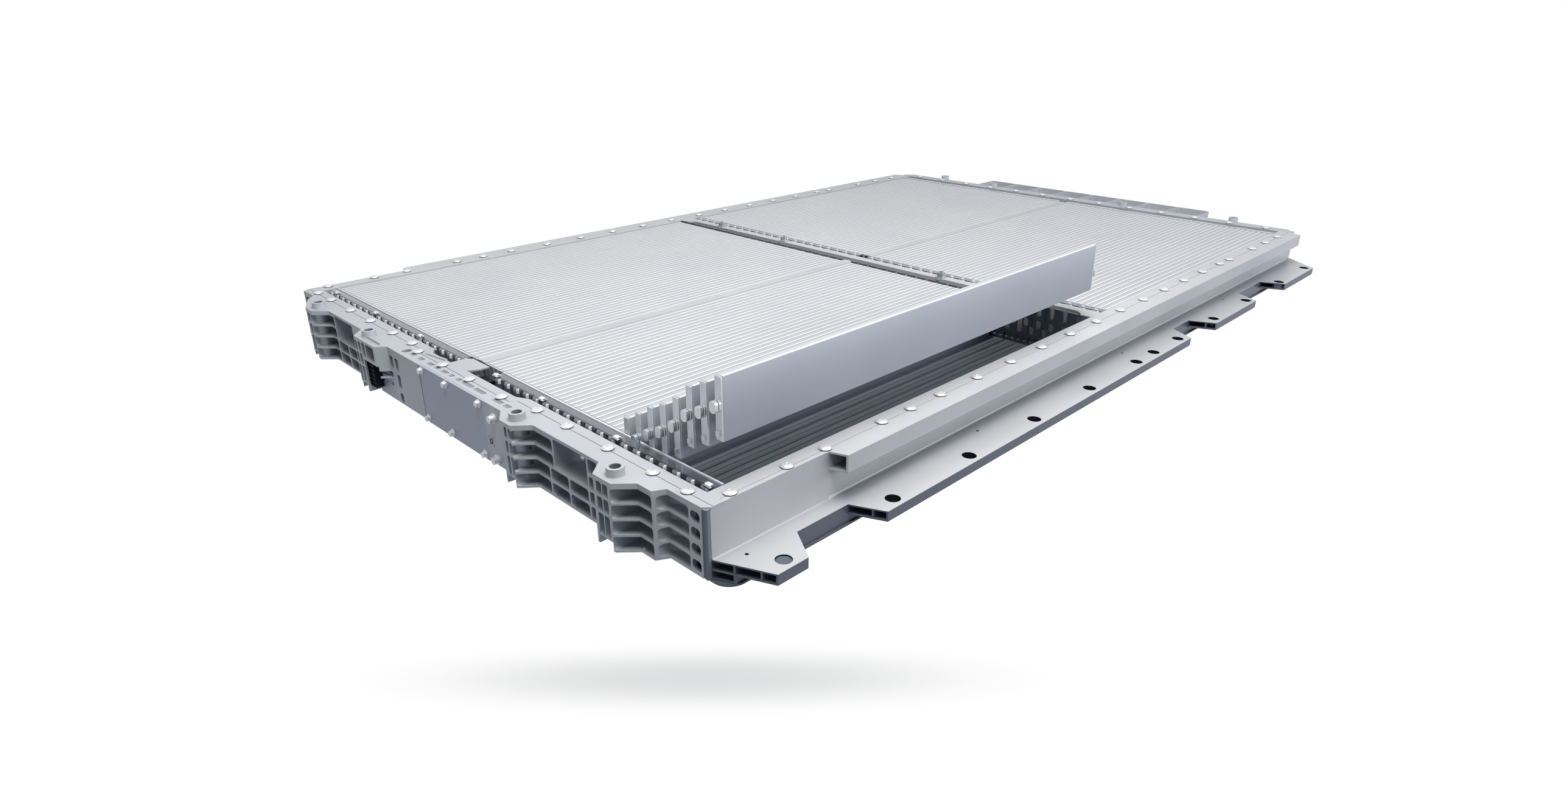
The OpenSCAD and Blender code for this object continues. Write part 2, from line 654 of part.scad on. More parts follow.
// Bracket that carries the beam's end, with a hollowed edge to the bay
module beam_bracket() {
    reach = 26;
    difference() {
        translate([x_slot + 1, y_rail_in - 44, z_deck_under])
            cube([beam_slot_w, 44, deck_t]);
        translate([x_slot - 8, y_rail_in - 48, z_deck_under - 1])
            cylinder(h = deck_t + 2, r = reach);
    }
}

// Sleeves through the mid beam for the bolts to the car's body
sleeve_y = [-500, -253, 253, 500];
sleeve_r = 8.5;
pad_r = beam_w / 2 + 2.3;
module beam_sleeves() {
    color("darkgray") for (y = sleeve_y)
        translate([x_beam + beam_w / 2, y, bottom_t]) difference() {
            union() {
                cylinder(h = z_deck + boss_h - bottom_t, r = sleeve_r);
                translate([0, 0, z_deck - bottom_t]) cylinder(h = 1.6, r = pad_r - 0.8);
            }
            translate([0, 0, -1]) cylinder(h = z_deck + boss_h + 2, r = 4.5);
        }
}

// Plastic wall that holds the back ends of the front cells: holes for their
// terminals, square windows near the floor and open slots at its top edge
module terminal_carrier() {
    top = z_deck;
    clear = 0.6;
    color("dimgray") for (side = [-1, 1]) difference() {
        y0 = side < 0 ? -y_rail_in + 0.3 : centre_w / 2 + 0.3;
        translate([x_carrier, y0, z_floor])
            cube([carrier_t, y_rail_in - centre_w / 2 - 0.6, top - z_floor]);
        for (k = [0 : cells_per_half - 1]) {
            z = k % 2 == 1 ? term_high : term_low;
            translate([0, slot_y(side, k) + cell_t / 2, z_floor]) {
                translate([0, 0, z]) along_x(x_carrier - 1, carrier_t + 2)
                    oval(term_w + 2 * clear, term_h + 2 * clear);
                translate([x_carrier - 1, -cell_t / 3, 5])
                    cube([carrier_t + 2, cell_t * 2 / 3, 12.7]);
                if (k % 2 == 1) along_x(x_carrier - 1, carrier_t + 2)
                    translate([0, 80]) oval(10.6, 24);
                if (side < 0 && k % 2 == 0 && k / 2 < len(lifts))
                    draw_notch(z + lifts[k / 2], top - z_floor, z);
            }
        }
    }
}

// A cell that is drawn up only a little still has its terminal in the wall,
// so the wall is slotted upwards from that terminal's hole
module draw_notch(z_term, z_top, z_hole) {
    w = term_w + 1.2;
    if (z_term - term_h / 2 < z_top + 2)
        translate([x_carrier - 1, -w / 2, z_hole]) cube([carrier_t + 2, w, z_top]);
}

// Beam between the halves of a bay, with a low ridge on its top
module centre_beam(x0, l) {
    h = cell_h;
    color("lightgray") difference() {
        union() {
            translate([x0, -centre_w / 2, z_floor]) cube([l, centre_w, h]);
            translate([x0, -1.5, z_floor]) cube([l, 3, h + 0.8]);
        }
        translate([x0 - 1, -centre_w / 2 + rail_wall, z_floor + rail_wall])
            cube([l + 2, centre_w - 2 * rail_wall, h - 2 * rail_wall]);
    }
}

module bay_floor(x0, l, open) {
    color("dimgray") difference() {
        translate([x0, -y_rail_in, bottom_t]) cube([l, 2 * y_rail_in, floor_t]);
        if (open) for (k = [0 : open_slots - 1])
            translate([x_cell_f0 + 2, slot_y(-1, k) + cell_t / 2 - 1.2, z_floor - 1.5])
                cube([cell_l - 4, 2.4, 2]);
    }
}

module bottom_plate() {
    y1 = y_web + 3;
    x0 = x_end + 5;
    x1 = x_rear_in + 40;
    color("slategray") {
        translate([x0, -y1, 0]) linear_extrude(bottom_t) round_rect(x1 - x0, 2 * y1, 28);
    }
}

// Clear cover over the busbars: a strip whose outer wall has a round bulge for
// each pair of cells, with a flat lip along its top edge. The bulges look to -X.
module busbar_cover(side, x_wall, y0, y1, face) {
    h = 76;
    n = floor((y1 - y0) / (2 * pitch));
    r = pitch * 0.72;
    depth = 7;
    z0 = z_deck - h - 1.5;
    color("whitesmoke", 0.4) scale([1, side, 1]) translate([x_wall, 0, z0]) {
        linear_extrude(h) difference() {
            cover_outline(face, y0, y1, n, r, depth, 0);
            cover_outline(face, y0 + cover_wall, y1 - cover_wall, n, r, depth, cover_wall);
        }
        translate([0, 0, h]) linear_extrude(1.5) cover_outline(face, y0, y1, n, r, depth, 0);
    }
}

module cover_outline(face, y0, y1, n, r, depth, wall) {
    run = (y1 - y0) / n;
    back = wall > 0 ? 1 : 0;
    translate([face < 0 ? -depth + wall : -back, y0])
        square([depth - wall + back, y1 - y0]);
    for (k = [0 : n - 1]) intersection() {
        translate([face * (depth - r * 0.45), y0 + (k + 0.5) * run]) circle(r - wall);
        translate([face < 0 ? -depth - r : 0, y0]) square([depth + r, y1 - y0]);
    }
}

// Busbars: each welds two neighbouring terminals together
module busbars(side, x0, first, shift) {
    tall = term_high - term_low + term_h + 2;
    color("silver") for (k = [first + shift : 2 : cells_per_half - 2])
        translate([x0, min(slot_y(side, k), slot_y(side, k + 1)) + 1,
                z_floor + term_low - term_h / 2 - 1])
            difference() {
                cube([busbar_t, 2 * pitch - 2 - cell_gap, tall]);
                translate([-1, pitch - 1 - cell_gap / 2, tall / 2]) rotate([0, 90, 0])
                    cylinder(h = busbar_t + 2, r = 2.4);
            }
}

// Domed deck bolt with its collar, standing on z = 0
module deck_bolt() {
    dome_h = 4.2;
    collar_h = 1.4;
    dome_r = (bolt_head_r * bolt_head_r + dome_h * dome_h) / (2 * dome_h);
    color("white") {
        cylinder(h = collar_h, r = bolt_head_r + 1.4);
        intersection() {
            translate([0, 0, collar_h + dome_h - dome_r]) sphere(dome_r);
            cylinder(h = collar_h + dome_h + 1, r = bolt_head_r);
        }
        translate([0, 0, -14]) cylinder(h = 14 + eps, r = bolt_r);
    }
}

module rail_bolts(side) {
    for (x = rail_bolt_x) translate([x, side * rail_bolt_y, z_deck]) deck_bolt();
}

// Cover plate of the front casting, with the holes of its screws
module access_cover() {
    color("slategray") difference() {
        translate([x_cover, cover_y0, cover_z0])
            cube([cover_t, cover_y1 - cover_y0, z_deck - 0.3 - cover_z0]);
        for (p = cover_screw) translate([x_cover - 1, p[0], p[1]]) rotate([0, 90, 0])
            cylinder(h = cover_t + 2, r = 3.2);
    }
}

// Hexagon screw that looks to the front
module face_screw(shank) {
    color("white") rotate([0, -90, 0]) {
        cylinder(h = 1.4, r = 7);
        cylinder(h = 6.5, r = 5.6, $fn = 6);
        translate([0, 0, -shank]) cylinder(h = shank + eps, r = screw_r);
    }
}

module cover_studs() {
    color("whitesmoke") for (p = stud_spots)
        translate([x_cover, p[0], p[1]]) rotate([0, -90, 0]) {
            cylinder(h = 10, r = 6.2);
            cylinder(h = 3, r = 8);
            translate([0, 0, -9]) cylinder(h = 9 + eps, r = 3);
        }
}

// Connector under the shelf: a thick front flange on a narrower body
module signal_connector() {
    x0 = x_nose + 1.5;
    flange = 8;
    color("dimgray") difference() {
        union() {
            translate([x0, conn_y0, conn_z0])
                cube([flange, conn_y1 - conn_y0, conn_z1 - conn_z0]);
            translate([x0, port_plate_y1 + 3, conn_z0])
                cube([x_seat - x0, conn_y1 + 1 - port_plate_y1 - 3, conn_z1 - conn_z0]);
        }
        translate([x0 - 1, conn_y0 + 5, conn_z0 + 5])
            cube([2, conn_y1 - conn_y0 - 10, conn_z1 - conn_z0 - 10]);
    }
}

module connector_plate() {
    color("slategray") difference() {
        translate([x_cover, port_plate_y0, bottom_t])
            cube([x_seat - x_cover, port_plate_y1 - port_plate_y0, port_plate_h]);
        for (y = port_y) translate([x_cover - 1, y, port_z]) rotate([0, 90, 0])
            cylinder(h = 10, r = port_r + seat_gap);
        translate([x_cover - 1, (port_y[0] + port_y[1]) / 2, port_z]) rotate([0, 90, 0])
            cylinder(h = 10, r = 2);
    }
}

// Two short tubes whose mouths end behind the face of their plate
module coolant_ports() {
    color("silver") for (y = port_y)
        translate([x_cover + 2, y, port_z]) rotate([0, 90, 0]) difference() {
            cylinder(h = port_l, r = port_r);
            translate([0, 0, -1]) cylinder(h = port_l - 3, r = port_r - 1.5);
        }
}

module link_bracket() {
    edge = x_front_in - deck_notch;
    color("gainsboro") translate([0, 0, z_deck - 3.5]) linear_extrude(3)
        polygon([[edge, 28], [x_cell_f0 - 14, 28], [x_cell_f0 - 6, 16],
            [x_cell_f0 - 6, -38], [x_front_in + 8, -38], [edge, -28]]);
}

module link_block() {
    color("dimgray") translate([x_front_in + 1, -link_y1 + 3, z_floor])
        cube([12, 32, z_deck - 12 - z_floor]);
}

// White clips of the sensor leads on top of the clear covers
module sensor_clips() {
    color("white") for (y = [595, 395, 196, -86, -228, -427, -627])
        translate([x_cell_f0 - 22, y - 6, z_deck]) cube([8, 12, 3]);
}

bottom_plate();
mirror([0, 1, 0]) side_rail();  // side_rail_right
side_rail();  // side_rail_left
front_casting();
rear_casting();
mid_beam();
beam_sleeves();
terminal_carrier();
centre_beam(x_cell_f0, x_slot - x_cell_f0);  // centre_beam_front
centre_beam(x_cell_r0, cell_l);  // centre_beam_rear
bay_floor(x_front_in, x_beam - x_front_in, true);  // bay_floor_front
bay_floor(x_beam1, x_rear_in - x_beam1, false);  // bay_floor_rear
seated_cells(1, x_cell_f0, 0);  // cells_front_left
seated_cells(-1, x_cell_f0, open_slots);  // cells_front_right
seated_cells(1, x_cell_r0, 0);  // cells_rear_left
seated_cells(-1, x_cell_r0, 0);  // cells_rear_right
lifted_cell(1);  // lifted_cell_1
lifted_cell(2);  // lifted_cell_2
lifted_cell(3);  // lifted_cell_3
lifted_cell(4);  // lifted_cell_4
lifted_cell(5);  // lifted_cell_5
lifted_cell(6);  // lifted_cell_6
lifted_cell(7);  // lifted_cell_7
lifted_cell(8);  // lifted_cell_8
busbar_cover(1, x_cell_f0 - bus_reach, link_y0, y_cells1, -1);  // busbar_cover_front_left
busbar_cover(-1, x_cell_f0 - bus_reach, link_y1, y_cells1, -1);  // busbar_cover_front_right
busbar_cover(1, x_cell_r0 - bus_reach, y_cells0, y_cells1, -1);  // busbar_cover_mid_left
busbar_cover(-1, x_cell_r0 - bus_reach, y_cells0, y_cells1, -1);  // busbar_cover_mid_right
busbar_cover(1, x_cell_r1 + bus_reach, y_cells0, y_cells1, 1);  // busbar_cover_rear_left
busbar_cover(-1, x_cell_r1 + bus_reach, y_cells0, y_cells1, 1);  // busbar_cover_rear_right
union() {  // busbars_front
    busbars(1, x_cell_f0 - term_out - busbar_t, 0, 0);
    busbars(-1, x_cell_f0 - term_out - busbar_t, open_slots, 0);
}
union() {  // busbars_beam
    busbars(1, x_slot, 0, 1);
    busbars(-1, x_slot, open_slots, 1);
}
union() {  // busbars_mid
    busbars(1, x_cell_r0 - term_out - busbar_t, 0, 0);
    busbars(-1, x_cell_r0 - term_out - busbar_t, 0, 0);
}
union() {  // busbars_rear
    busbars(1, x_cell_r1 + term_out, 0, 1);
    busbars(-1, x_cell_r1 + term_out, 0, 1);
}
sensor_clips();
link_bracket();
link_block();
access_cover();
for (p = cover_screw) translate([x_cover, p[0], p[1]]) face_screw(screw_l);  // cover_screws
cover_studs();
signal_connector();
connector_plate();
coolant_ports();
rail_bolts(-1);  // bolts_right
rail_bolts(1);  // bolts_left
union() {  // bolts_front
    for (y = front_bolt_y) translate([x_front_bolt, y, z_deck]) deck_bolt();
    for (y = front_bolt_mid_y) translate([x_front_bolt_mid, y, z_deck]) deck_bolt();
}
for (y = rear_bolt_y) translate([x_rear_bolt, y, z_deck]) deck_bolt();  // bolts_rear
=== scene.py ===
import json
import math
import bmesh
import bpy
from mathutils import Matrix, Vector


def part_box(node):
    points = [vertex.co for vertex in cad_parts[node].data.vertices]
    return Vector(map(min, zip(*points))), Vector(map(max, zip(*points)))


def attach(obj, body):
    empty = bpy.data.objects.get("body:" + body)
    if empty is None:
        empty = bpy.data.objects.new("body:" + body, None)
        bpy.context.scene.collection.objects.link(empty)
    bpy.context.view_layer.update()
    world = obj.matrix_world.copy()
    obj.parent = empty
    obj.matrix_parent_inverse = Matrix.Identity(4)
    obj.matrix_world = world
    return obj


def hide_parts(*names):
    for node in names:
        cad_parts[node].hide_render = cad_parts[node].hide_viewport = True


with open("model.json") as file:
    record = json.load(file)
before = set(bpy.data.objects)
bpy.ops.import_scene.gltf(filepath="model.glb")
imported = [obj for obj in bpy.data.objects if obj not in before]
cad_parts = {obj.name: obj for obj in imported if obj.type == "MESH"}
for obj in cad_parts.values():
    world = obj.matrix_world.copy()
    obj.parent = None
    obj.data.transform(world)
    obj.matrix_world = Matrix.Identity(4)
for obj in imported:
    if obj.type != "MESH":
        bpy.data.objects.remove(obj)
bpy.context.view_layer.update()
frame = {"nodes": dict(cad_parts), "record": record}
print("frame loaded,", len(frame["nodes"]), "nodes")

# The camera, solved from the straight edges of the pack in the photograph
cameraSettings = {
    "place": (-1.7135, -1.4197, 0.6678),
    "right": (0.703059, -0.711132, 0.00037),
    "down": (-0.281717, -0.278997, -0.91804),
    "ahead": (0.65295, 0.645331, -0.396489),
    "focalPixels": 1488.98,
    "centrePixels": (1293.40, 658.91),
    "imagePixels": (2576, 1289),
    "sensorMm": 36.0, "clip": (0.02, 60.0),
}


def makeCamera(s):
    wide, high = s["imagePixels"]
    data = bpy.data.cameras.new("photoCamera")
    data.sensor_width = s["sensorMm"]
    data.lens = data.sensor_width * s["focalPixels"] / wide
    data.shift_x = (wide / 2 - s["centrePixels"][0]) / wide
    data.shift_y = (s["centrePixels"][1] - high / 2) / wide
    data.clip_start, data.clip_end = s["clip"]
    camera = bpy.data.objects.new("photoCamera", data)
    turn = Matrix((s["right"], [-v for v in s["down"]], [-v for v in s["ahead"]])).transposed()
    camera.matrix_world = Matrix.Translation(s["place"]) @ turn.to_4x4()
    bpy.context.scene.collection.objects.link(camera)
    bpy.context.scene.camera = camera


makeCamera(cameraSettings)
print("camera placed")


# Nodes and colours

def hexColour(text, alpha=1.0):
    # sRGB hex to linear
    parts = [int(text[i:i + 2], 16) / 255 for i in (1, 3, 5)]
    return [p / 12.92 if p < 0.04045 else ((p + 0.055) / 1.055) ** 2.4 for p in parts] + [alpha]


def addNode(tree, kind, settings=None, inputs=None):
    node = tree.nodes.new(kind)
    for name, value in (settings or {}).items():
        setattr(node, name, value)
    for key, value in (inputs or {}).items():
        if isinstance(value, bpy.types.NodeSocket):
            tree.links.new(value, node.inputs[key])
        else:
            node.inputs[key].default_value = value
    return node


def newMaterial(name):
    material = bpy.data.materials.new(name)
    material.use_nodes = True
    tree = material.node_tree
    tree.nodes.clear()
    return material, tree


def finishMaterial(tree, shaderSocket):
    output = addNode(tree, "ShaderNodeOutputMaterial")
    tree.links.new(shaderSocket, output.inputs["Surface"])


# The part of a noise's range that is spread over the whole change
noiseRange = {"From Min": 0.3, "From Max": 0.7}


def surfaceMaterial(name, s):
    # Base colour with a slow change over the part, roughness from a finer grain,
    # and a bump for the surface that the process leaves
    material, tree = newMaterial(name)
    place = addNode(tree, "ShaderNodeTexCoord").outputs["Object"]
    along = addNode(tree, "ShaderNodeMapping", None,
                    {"Vector": place, "Scale": s.get("stretch", (1, 1, 1))}).outputs["Vector"]
    slow = addNode(tree, "ShaderNodeTexNoise", None,
                   {"Vector": place, "Scale": 6.0, "Detail": 4.0}).outputs["Fac"]
    fine = addNode(tree, "ShaderNodeTexNoise", None,
                   {"Vector": along, "Scale": 1 / s["grain"], "Detail": 3.0,
                    "Roughness": 0.55}).outputs["Fac"]
    patch = addNode(tree, "ShaderNodeMapRange", None,
                    {"Value": slow, **noiseRange}).outputs["Result"]
    colour = addNode(tree, "ShaderNodeMix", {"data_type": "RGBA"},
                     {0: patch, 6: hexColour(s["dark"]), 7: hexColour(s["light"])}).outputs[2]
    if "dip" in s:
        # Painted shade: everything below this height in metres takes a darker colour, for the shade on
        # the low faces
        high, paintedShadeBelowColour = s["dip"]
        height = addNode(tree, "ShaderNodeSeparateXYZ", None, {0: place}).outputs["Z"]
        above = addNode(tree, "ShaderNodeMath", {"operation": "GREATER_THAN"},
                        {0: height, 1: high}).outputs[0]
        colour = addNode(tree, "ShaderNodeMix", {"data_type": "RGBA"},
                         {0: above, 6: hexColour(paintedShadeBelowColour), 7: colour}).outputs[2]
    if "paintedCornerShade" in s:
        # Painted shade: upward faces take a darker colour in the corners beside walls, from ambient
        # occlusion
        reach, share = s["paintedCornerShade"]
        free = addNode(tree, "ShaderNodeAmbientOcclusion", {"samples": 6},
                       {"Distance": reach}).outputs["AO"]
        facing = addNode(tree, "ShaderNodeNewGeometry").outputs["Normal"]
        upward = addNode(tree, "ShaderNodeSeparateXYZ", None, {0: facing}).outputs["Z"]
        corner = addNode(tree, "ShaderNodeMapRange", None,
                         {"Value": free, "From Min": 0.0, "From Max": 1.0,
                          "To Min": share, "To Max": 0.0}).outputs["Result"]
        cornerShadeAmount = addNode(tree, "ShaderNodeMath", {"operation": "MULTIPLY", "use_clamp": True},
                         {0: corner, 1: upward}).outputs[0]
        colour = addNode(tree, "ShaderNodeMix", {"data_type": "RGBA"},
                         {0: cornerShadeAmount, 6: colour, 7: hexColour(s["paintedCornerShadeColour"])}).outputs[2]
    rough = addNode(tree, "ShaderNodeMapRange", None,
                    {"Value": fine, **noiseRange,
                     "To Min": s["rough"][0], "To Max": s["rough"][1]}).outputs["Result"]
    # Broken edges catch the light as on a deburred part
    softened = addNode(tree, "ShaderNodeBevel", {"samples": 4},
                       {"Radius": s.get("brokenEdge", 0.0)}).outputs["Normal"]
    bump = addNode(tree, "ShaderNodeBump", None,
                   {"Height": fine, "Strength": s["bump"],
                    "Distance": s["relief"], "Normal": softened}).outputs["Normal"]
    shader = addNode(tree, "ShaderNodeBsdfPrincipled", None,
                     {"Base Color": colour, "Metallic": s.get("metallic", 0.0), "Roughness": rough,
                      "Normal": bump, "IOR": s.get("ior", 1.5)})
    finishMaterial(tree, shader.outputs["BSDF"])
    return material


# Extruded 6000-series aluminium, mill finish: fine draw lines along X
extrudedAluminium = surfaceMaterial("extrudedAluminium", {
    "dark": "#c4c6ca", "light": "#cdcfd2", "metallic": 0.1,
    # Painted shade: a darker colour below 31.8 mm on the low faces
    # Painted shade: darker colour on upward faces in the corners beside walls
    "dip": (0.0318, "#596070"), "paintedCornerShade": (0.08, 0.8), "paintedCornerShadeColour": "#4a505c",
    "brokenEdge": 0.0009, "rough": (0.38, 0.46),
    "grain": 0.004, "stretch": (0.04, 1.0, 1.0), "bump": 0.06, "relief": 0.00004})
# Die cast aluminium, shot blasted: even, pearly, slightly pebbled
castAluminium = surfaceMaterial("castAluminium", {
    "dark": "#bbbfc6", "light": "#c4c8ce", "metallic": 0.15, "brokenEdge": 0.0009,
    # Painted shade: darker colour on upward faces in the corners beside walls
    "paintedCornerShade": (0.05, 0.4), "paintedCornerShadeColour": "#3e434d", "rough": (0.45, 0.55),
    "grain": 0.0016, "bump": 0.12, "relief": 0.00006})
# Die cast aluminium left unmilled: duller and darker
roughCasting = surfaceMaterial("roughCasting", {
    "dark": "#8f939a", "light": "#989ca3", "metallic": 0.1, "rough": (0.6, 0.7),
    "grain": 0.0014, "bump": 0.2, "relief": 0.00008})
# Satin e-coated steel sheet below the pack
underbodySheet = surfaceMaterial("underbodySheet", {
    "dark": "#4f5560", "light": "#5a606b", "metallic": 0.2, "rough": (0.45, 0.55),
    "grain": 0.003, "bump": 0.08, "relief": 0.00005})
# Matt coated steel floor of the bay, grey
bayCoating = surfaceMaterial("bayCoating", {
    "dark": "#a3aab5", "light": "#abb2bd", "rough": (0.5, 0.62),
    "grain": 0.003, "bump": 0.1, "relief": 0.00005})
# Drawn aluminium cell can with its thin insulating film: smooth, softly glossy
cellFilm = surfaceMaterial("cellFilm", {
    "dark": "#b0b7c1", "light": "#b6bdc7", "metallic": 0.1, "rough": (0.34, 0.4),
    "grain": 0.006, "stretch": (0.03, 1.0, 1.0), "bump": 0.02, "relief": 0.00002})
# Painted light: a lighter copy of the cell film for the tops, which face the overhead light
litTopFilm = surfaceMaterial("litTopFilm", {
    "dark": "#bbbec4", "light": "#c1c4c9", "metallic": 0.15, "rough": (0.34, 0.4),
    "grain": 0.006, "stretch": (0.03, 1.0, 1.0), "bump": 0.02, "relief": 0.00002})
# Painted highlight: a near-white strip along the edge of each cell top, for the light its rounded edge
# catches
paintedHighlightFilm = surfaceMaterial("paintedHighlightFilm", {
    "dark": "#f1f2f4", "light": "#f6f7f8", "rough": (0.26, 0.32),
    "grain": 0.006, "stretch": (0.03, 1.0, 1.0), "bump": 0.02, "relief": 0.00002})
# Stamped aluminium end cap of a cell: bare, even, satin
capAluminium = surfaceMaterial("capAluminium", {
    "dark": "#c9cdd4", "light": "#d6d9de", "metallic": 0.5, "rough": (0.3, 0.4),
    "grain": 0.002, "bump": 0.04, "relief": 0.00004})
# Cold-headed aluminium of the terminal plates: bright, ready for the laser weld
terminalAluminium = surfaceMaterial("terminalAluminium", {
    "dark": "#c2c6cd", "light": "#cfd3d9", "metallic": 0.7, "rough": (0.24, 0.32),
    "grain": 0.0015, "bump": 0.04, "relief": 0.00003})
# Moulded glass-filled nylon, dark grey: dull, faint orange peel
mouldedNylon = surfaceMaterial("mouldedNylon", {
    "dark": "#565d69", "light": "#616875", "rough": (0.42, 0.52),
    "grain": 0.0012, "bump": 0.15, "relief": 0.00005})
# Moulded nylon of the connector and the flange bushings, near black
connectorNylon = surfaceMaterial("connectorNylon", {
    "dark": "#0d1118", "light": "#121721", "ior": 1.22, "rough": (0.5, 0.6),
    "grain": 0.0012, "bump": 0.15, "relief": 0.00005})
# Extruded EPDM rubber of the boss bushings: matt, grey; also the painted-shade joint strips
jointRubber = surfaceMaterial("jointRubber", {
    "dark": "#868e99", "light": "#9098a3", "ior": 1.3, "rough": (0.6, 0.7),
    "grain": 0.0012, "bump": 0.1, "relief": 0.00004})
# Rolled aluminium strip of the busbars
rolledStrip = surfaceMaterial("rolledStrip", {
    "dark": "#b4b8c0", "light": "#c4c8cf", "metallic": 0.9, "rough": (0.25, 0.35),
    "grain": 0.003, "stretch": (1.0, 0.1, 1.0), "bump": 0.05, "relief": 0.00004})
# Moulded nylon of the clips, white
clipPlastic = surfaceMaterial("clipPlastic", {
    "dark": "#eceef1", "light": "#f7f8fa", "rough": (0.25, 0.35),
    "grain": 0.002, "bump": 0.03, "relief": 0.00003})
# Turned steel of the sleeves and tubes
turnedSteel = surfaceMaterial("turnedSteel", {
    "dark": "#a9adb5", "light": "#b9bdc4", "metallic": 0.85, "rough": (0.28, 0.36),
    "grain": 0.0012, "stretch": (1.0, 1.0, 0.1), "bump": 0.05, "relief": 0.00003})
# Powder coated sheet of the front cover: grey, fine orange peel
powderCoat = surfaceMaterial("powderCoat", {
    "dark": "#afb7c5", "light": "#b6becb", "metallic": 0.1, "rough": (0.45, 0.52),
    "grain": 0.0014, "bump": 0.1, "relief": 0.00004})
# Bright zinc plated steel of the bolts
zincPlate = surfaceMaterial("zincPlate", {
    "dark": "#dcdee3", "light": "#e6e8ec", "metallic": 0.35, "rough": (0.26, 0.34),
    "grain": 0.002, "bump": 0.03, "relief": 0.00003})


def clearMaterial(name, s):
    # Clear moulded polycarbonate: see-through and glossy, a little grey in its thickness
    material, tree = newMaterial(name)
    place = addNode(tree, "ShaderNodeTexCoord").outputs["Object"]
    slow = addNode(tree, "ShaderNodeTexNoise", None,
                   {"Vector": place, "Scale": 1 / s["ripple"], "Detail": 2.0}).outputs["Fac"]
    rough = addNode(tree, "ShaderNodeMapRange", None,
                    {"Value": slow, **noiseRange,
                     "To Min": s["rough"][0], "To Max": s["rough"][1]}).outputs["Result"]
    edge = addNode(tree, "ShaderNodeFresnel", None, {"IOR": s["ior"]}).outputs["Fac"]
    share = addNode(tree, "ShaderNodeMapRange", None,
                    {"Value": edge, "From Min": 0.0, "From Max": s["fullAt"],
                     "To Min": s["haze"], "To Max": 1.0}).outputs["Result"]
    clear = addNode(tree, "ShaderNodeBsdfTransparent", None, {"Color": hexColour(s["tint"])})
    milky = addNode(tree, "ShaderNodeBsdfPrincipled", None,
                    {"Base Color": hexColour(s["milk"]), "Roughness": 0.5})
    through = addNode(tree, "ShaderNodeMixShader", None,
                      {0: s["milkShare"], 1: clear.outputs[0], 2: milky.outputs["BSDF"]})
    shine = addNode(tree, "ShaderNodeBsdfPrincipled", None,
                    {"Base Color": hexColour(s["shine"]), "Metallic": 1.0, "Roughness": rough})
    blend = addNode(tree, "ShaderNodeMixShader", None,
                    {0: share, 1: through.outputs[0], 2: shine.outputs["BSDF"]})
    finishMaterial(tree, blend.outputs[0])
    return material


clearPlastic = clearMaterial("clearPlastic", {
    "tint": "#ccd1da", "shine": "#e6e9ee", "ior": 1.58, "fullAt": 0.7, "haze": 0.04,
    "milk": "#b9bfc9", "milkShare": 0.2,
    "ripple": 0.02, "rough": (0.08, 0.14)})
# Painted highlight: near-white plastic for the lip and the dome shoulders of the clear covers, in place
# of glints
paintedGlintPlastic = surfaceMaterial("paintedGlintPlastic", {
    "dark": "#dfe2e8", "light": "#e8eaee", "rough": (0.2, 0.3),
    "grain": 0.003, "bump": 0.03, "relief": 0.00003})
print("materials made")

slotMaterials = {
    "extruded_aluminium": extrudedAluminium, "cast_aluminium": castAluminium,
    "underbody_sheet": underbodySheet, "bay_floor": bayCoating, "cell_can": cellFilm,
    "carrier_plastic": mouldedNylon, "clear_plastic": clearPlastic,
    "busbar_aluminium": rolledStrip, "clip_plastic": clipPlastic,
    "steel_sleeve": turnedSteel, "cover_sheet": powderCoat, "plated_steel": zincPlate,
    "connector_plastic": connectorNylon,
}
for part in frame["record"]["subparts"]:
    node = frame["nodes"][part["node"]]
    node.data.materials.clear()
    node.data.materials.append(slotMaterials[part["material_slot"]])
print("CAD nodes dressed")


# Places read from the CAD nodes

def solidBoxes(nodeName):
    # Low and high corner of each separate solid of a CAD node
    work = bmesh.new()
    work.from_mesh(frame["nodes"][nodeName].data)
    bmesh.ops.remove_doubles(work, verts=work.verts, dist=1e-6)
    found, seen = [], set()
    for first in work.verts:
        if first in seen:
            continue
        seen.add(first)
        stack, points = [first], []
        while stack:
            vert = stack.pop()
            points.append(vert.co.copy())
            for edge in vert.link_edges:
                other = edge.other_vert(vert)
                if other not in seen:
                    seen.add(other)
                    stack.append(other)
        found.append((Vector([min(p[a] for p in points) for a in range(3)]),
                      Vector([max(p[a] for p in points) for a in range(3)])))
    work.free()
    return sorted(found, key=lambda box: tuple(box[0]))


def feet(nodeName):
    # Middle of the foot of each separate solid
    return [((low.x + high.x) / 2, (low.y + high.y) / 2, low.z) for low, high in solidBoxes(nodeName)]


def pieceName(prefix, nodeName):
    return prefix + nodeName.title().replace("_", "")


def meshObject(name, points, faces, parts=None):
    mesh = bpy.data.meshes.new(name)
    mesh.from_pydata([tuple(p) for p in points], [], faces)
    work = bmesh.new()
    work.from_mesh(mesh)
    bmesh.ops.recalc_face_normals(work, faces=work.faces)
    work.to_mesh(mesh)
    work.free()
    if parts:
        mark = mesh.attributes.new("part", "INT", "FACE")
        for index, part in enumerate(parts):
            mark.data[index].value = part
    thing = bpy.data.objects.new(name, mesh)
    bpy.context.scene.collection.objects.link(thing)
    return thing


def levelRectangle(x0, x1, y0, y1, z):
    return [(x0, y0, z), (x1, y0, z), (x1, y1, z), (x0, y1, z)]


def circlePoints(r, sides):
    turns = [2 * math.pi * k / sides for k in range(sides)]
    return [(r * math.cos(turn), r * math.sin(turn)) for turn in turns]


def levelCircle(x, y, z, r, sides):
    return [(x + a, y + b, z) for a, b in circlePoints(r, sides)]


def uprightCircle(x, y, z, r, sides):
    return [(x, y + a, z + b) for a, b in circlePoints(r, sides)]


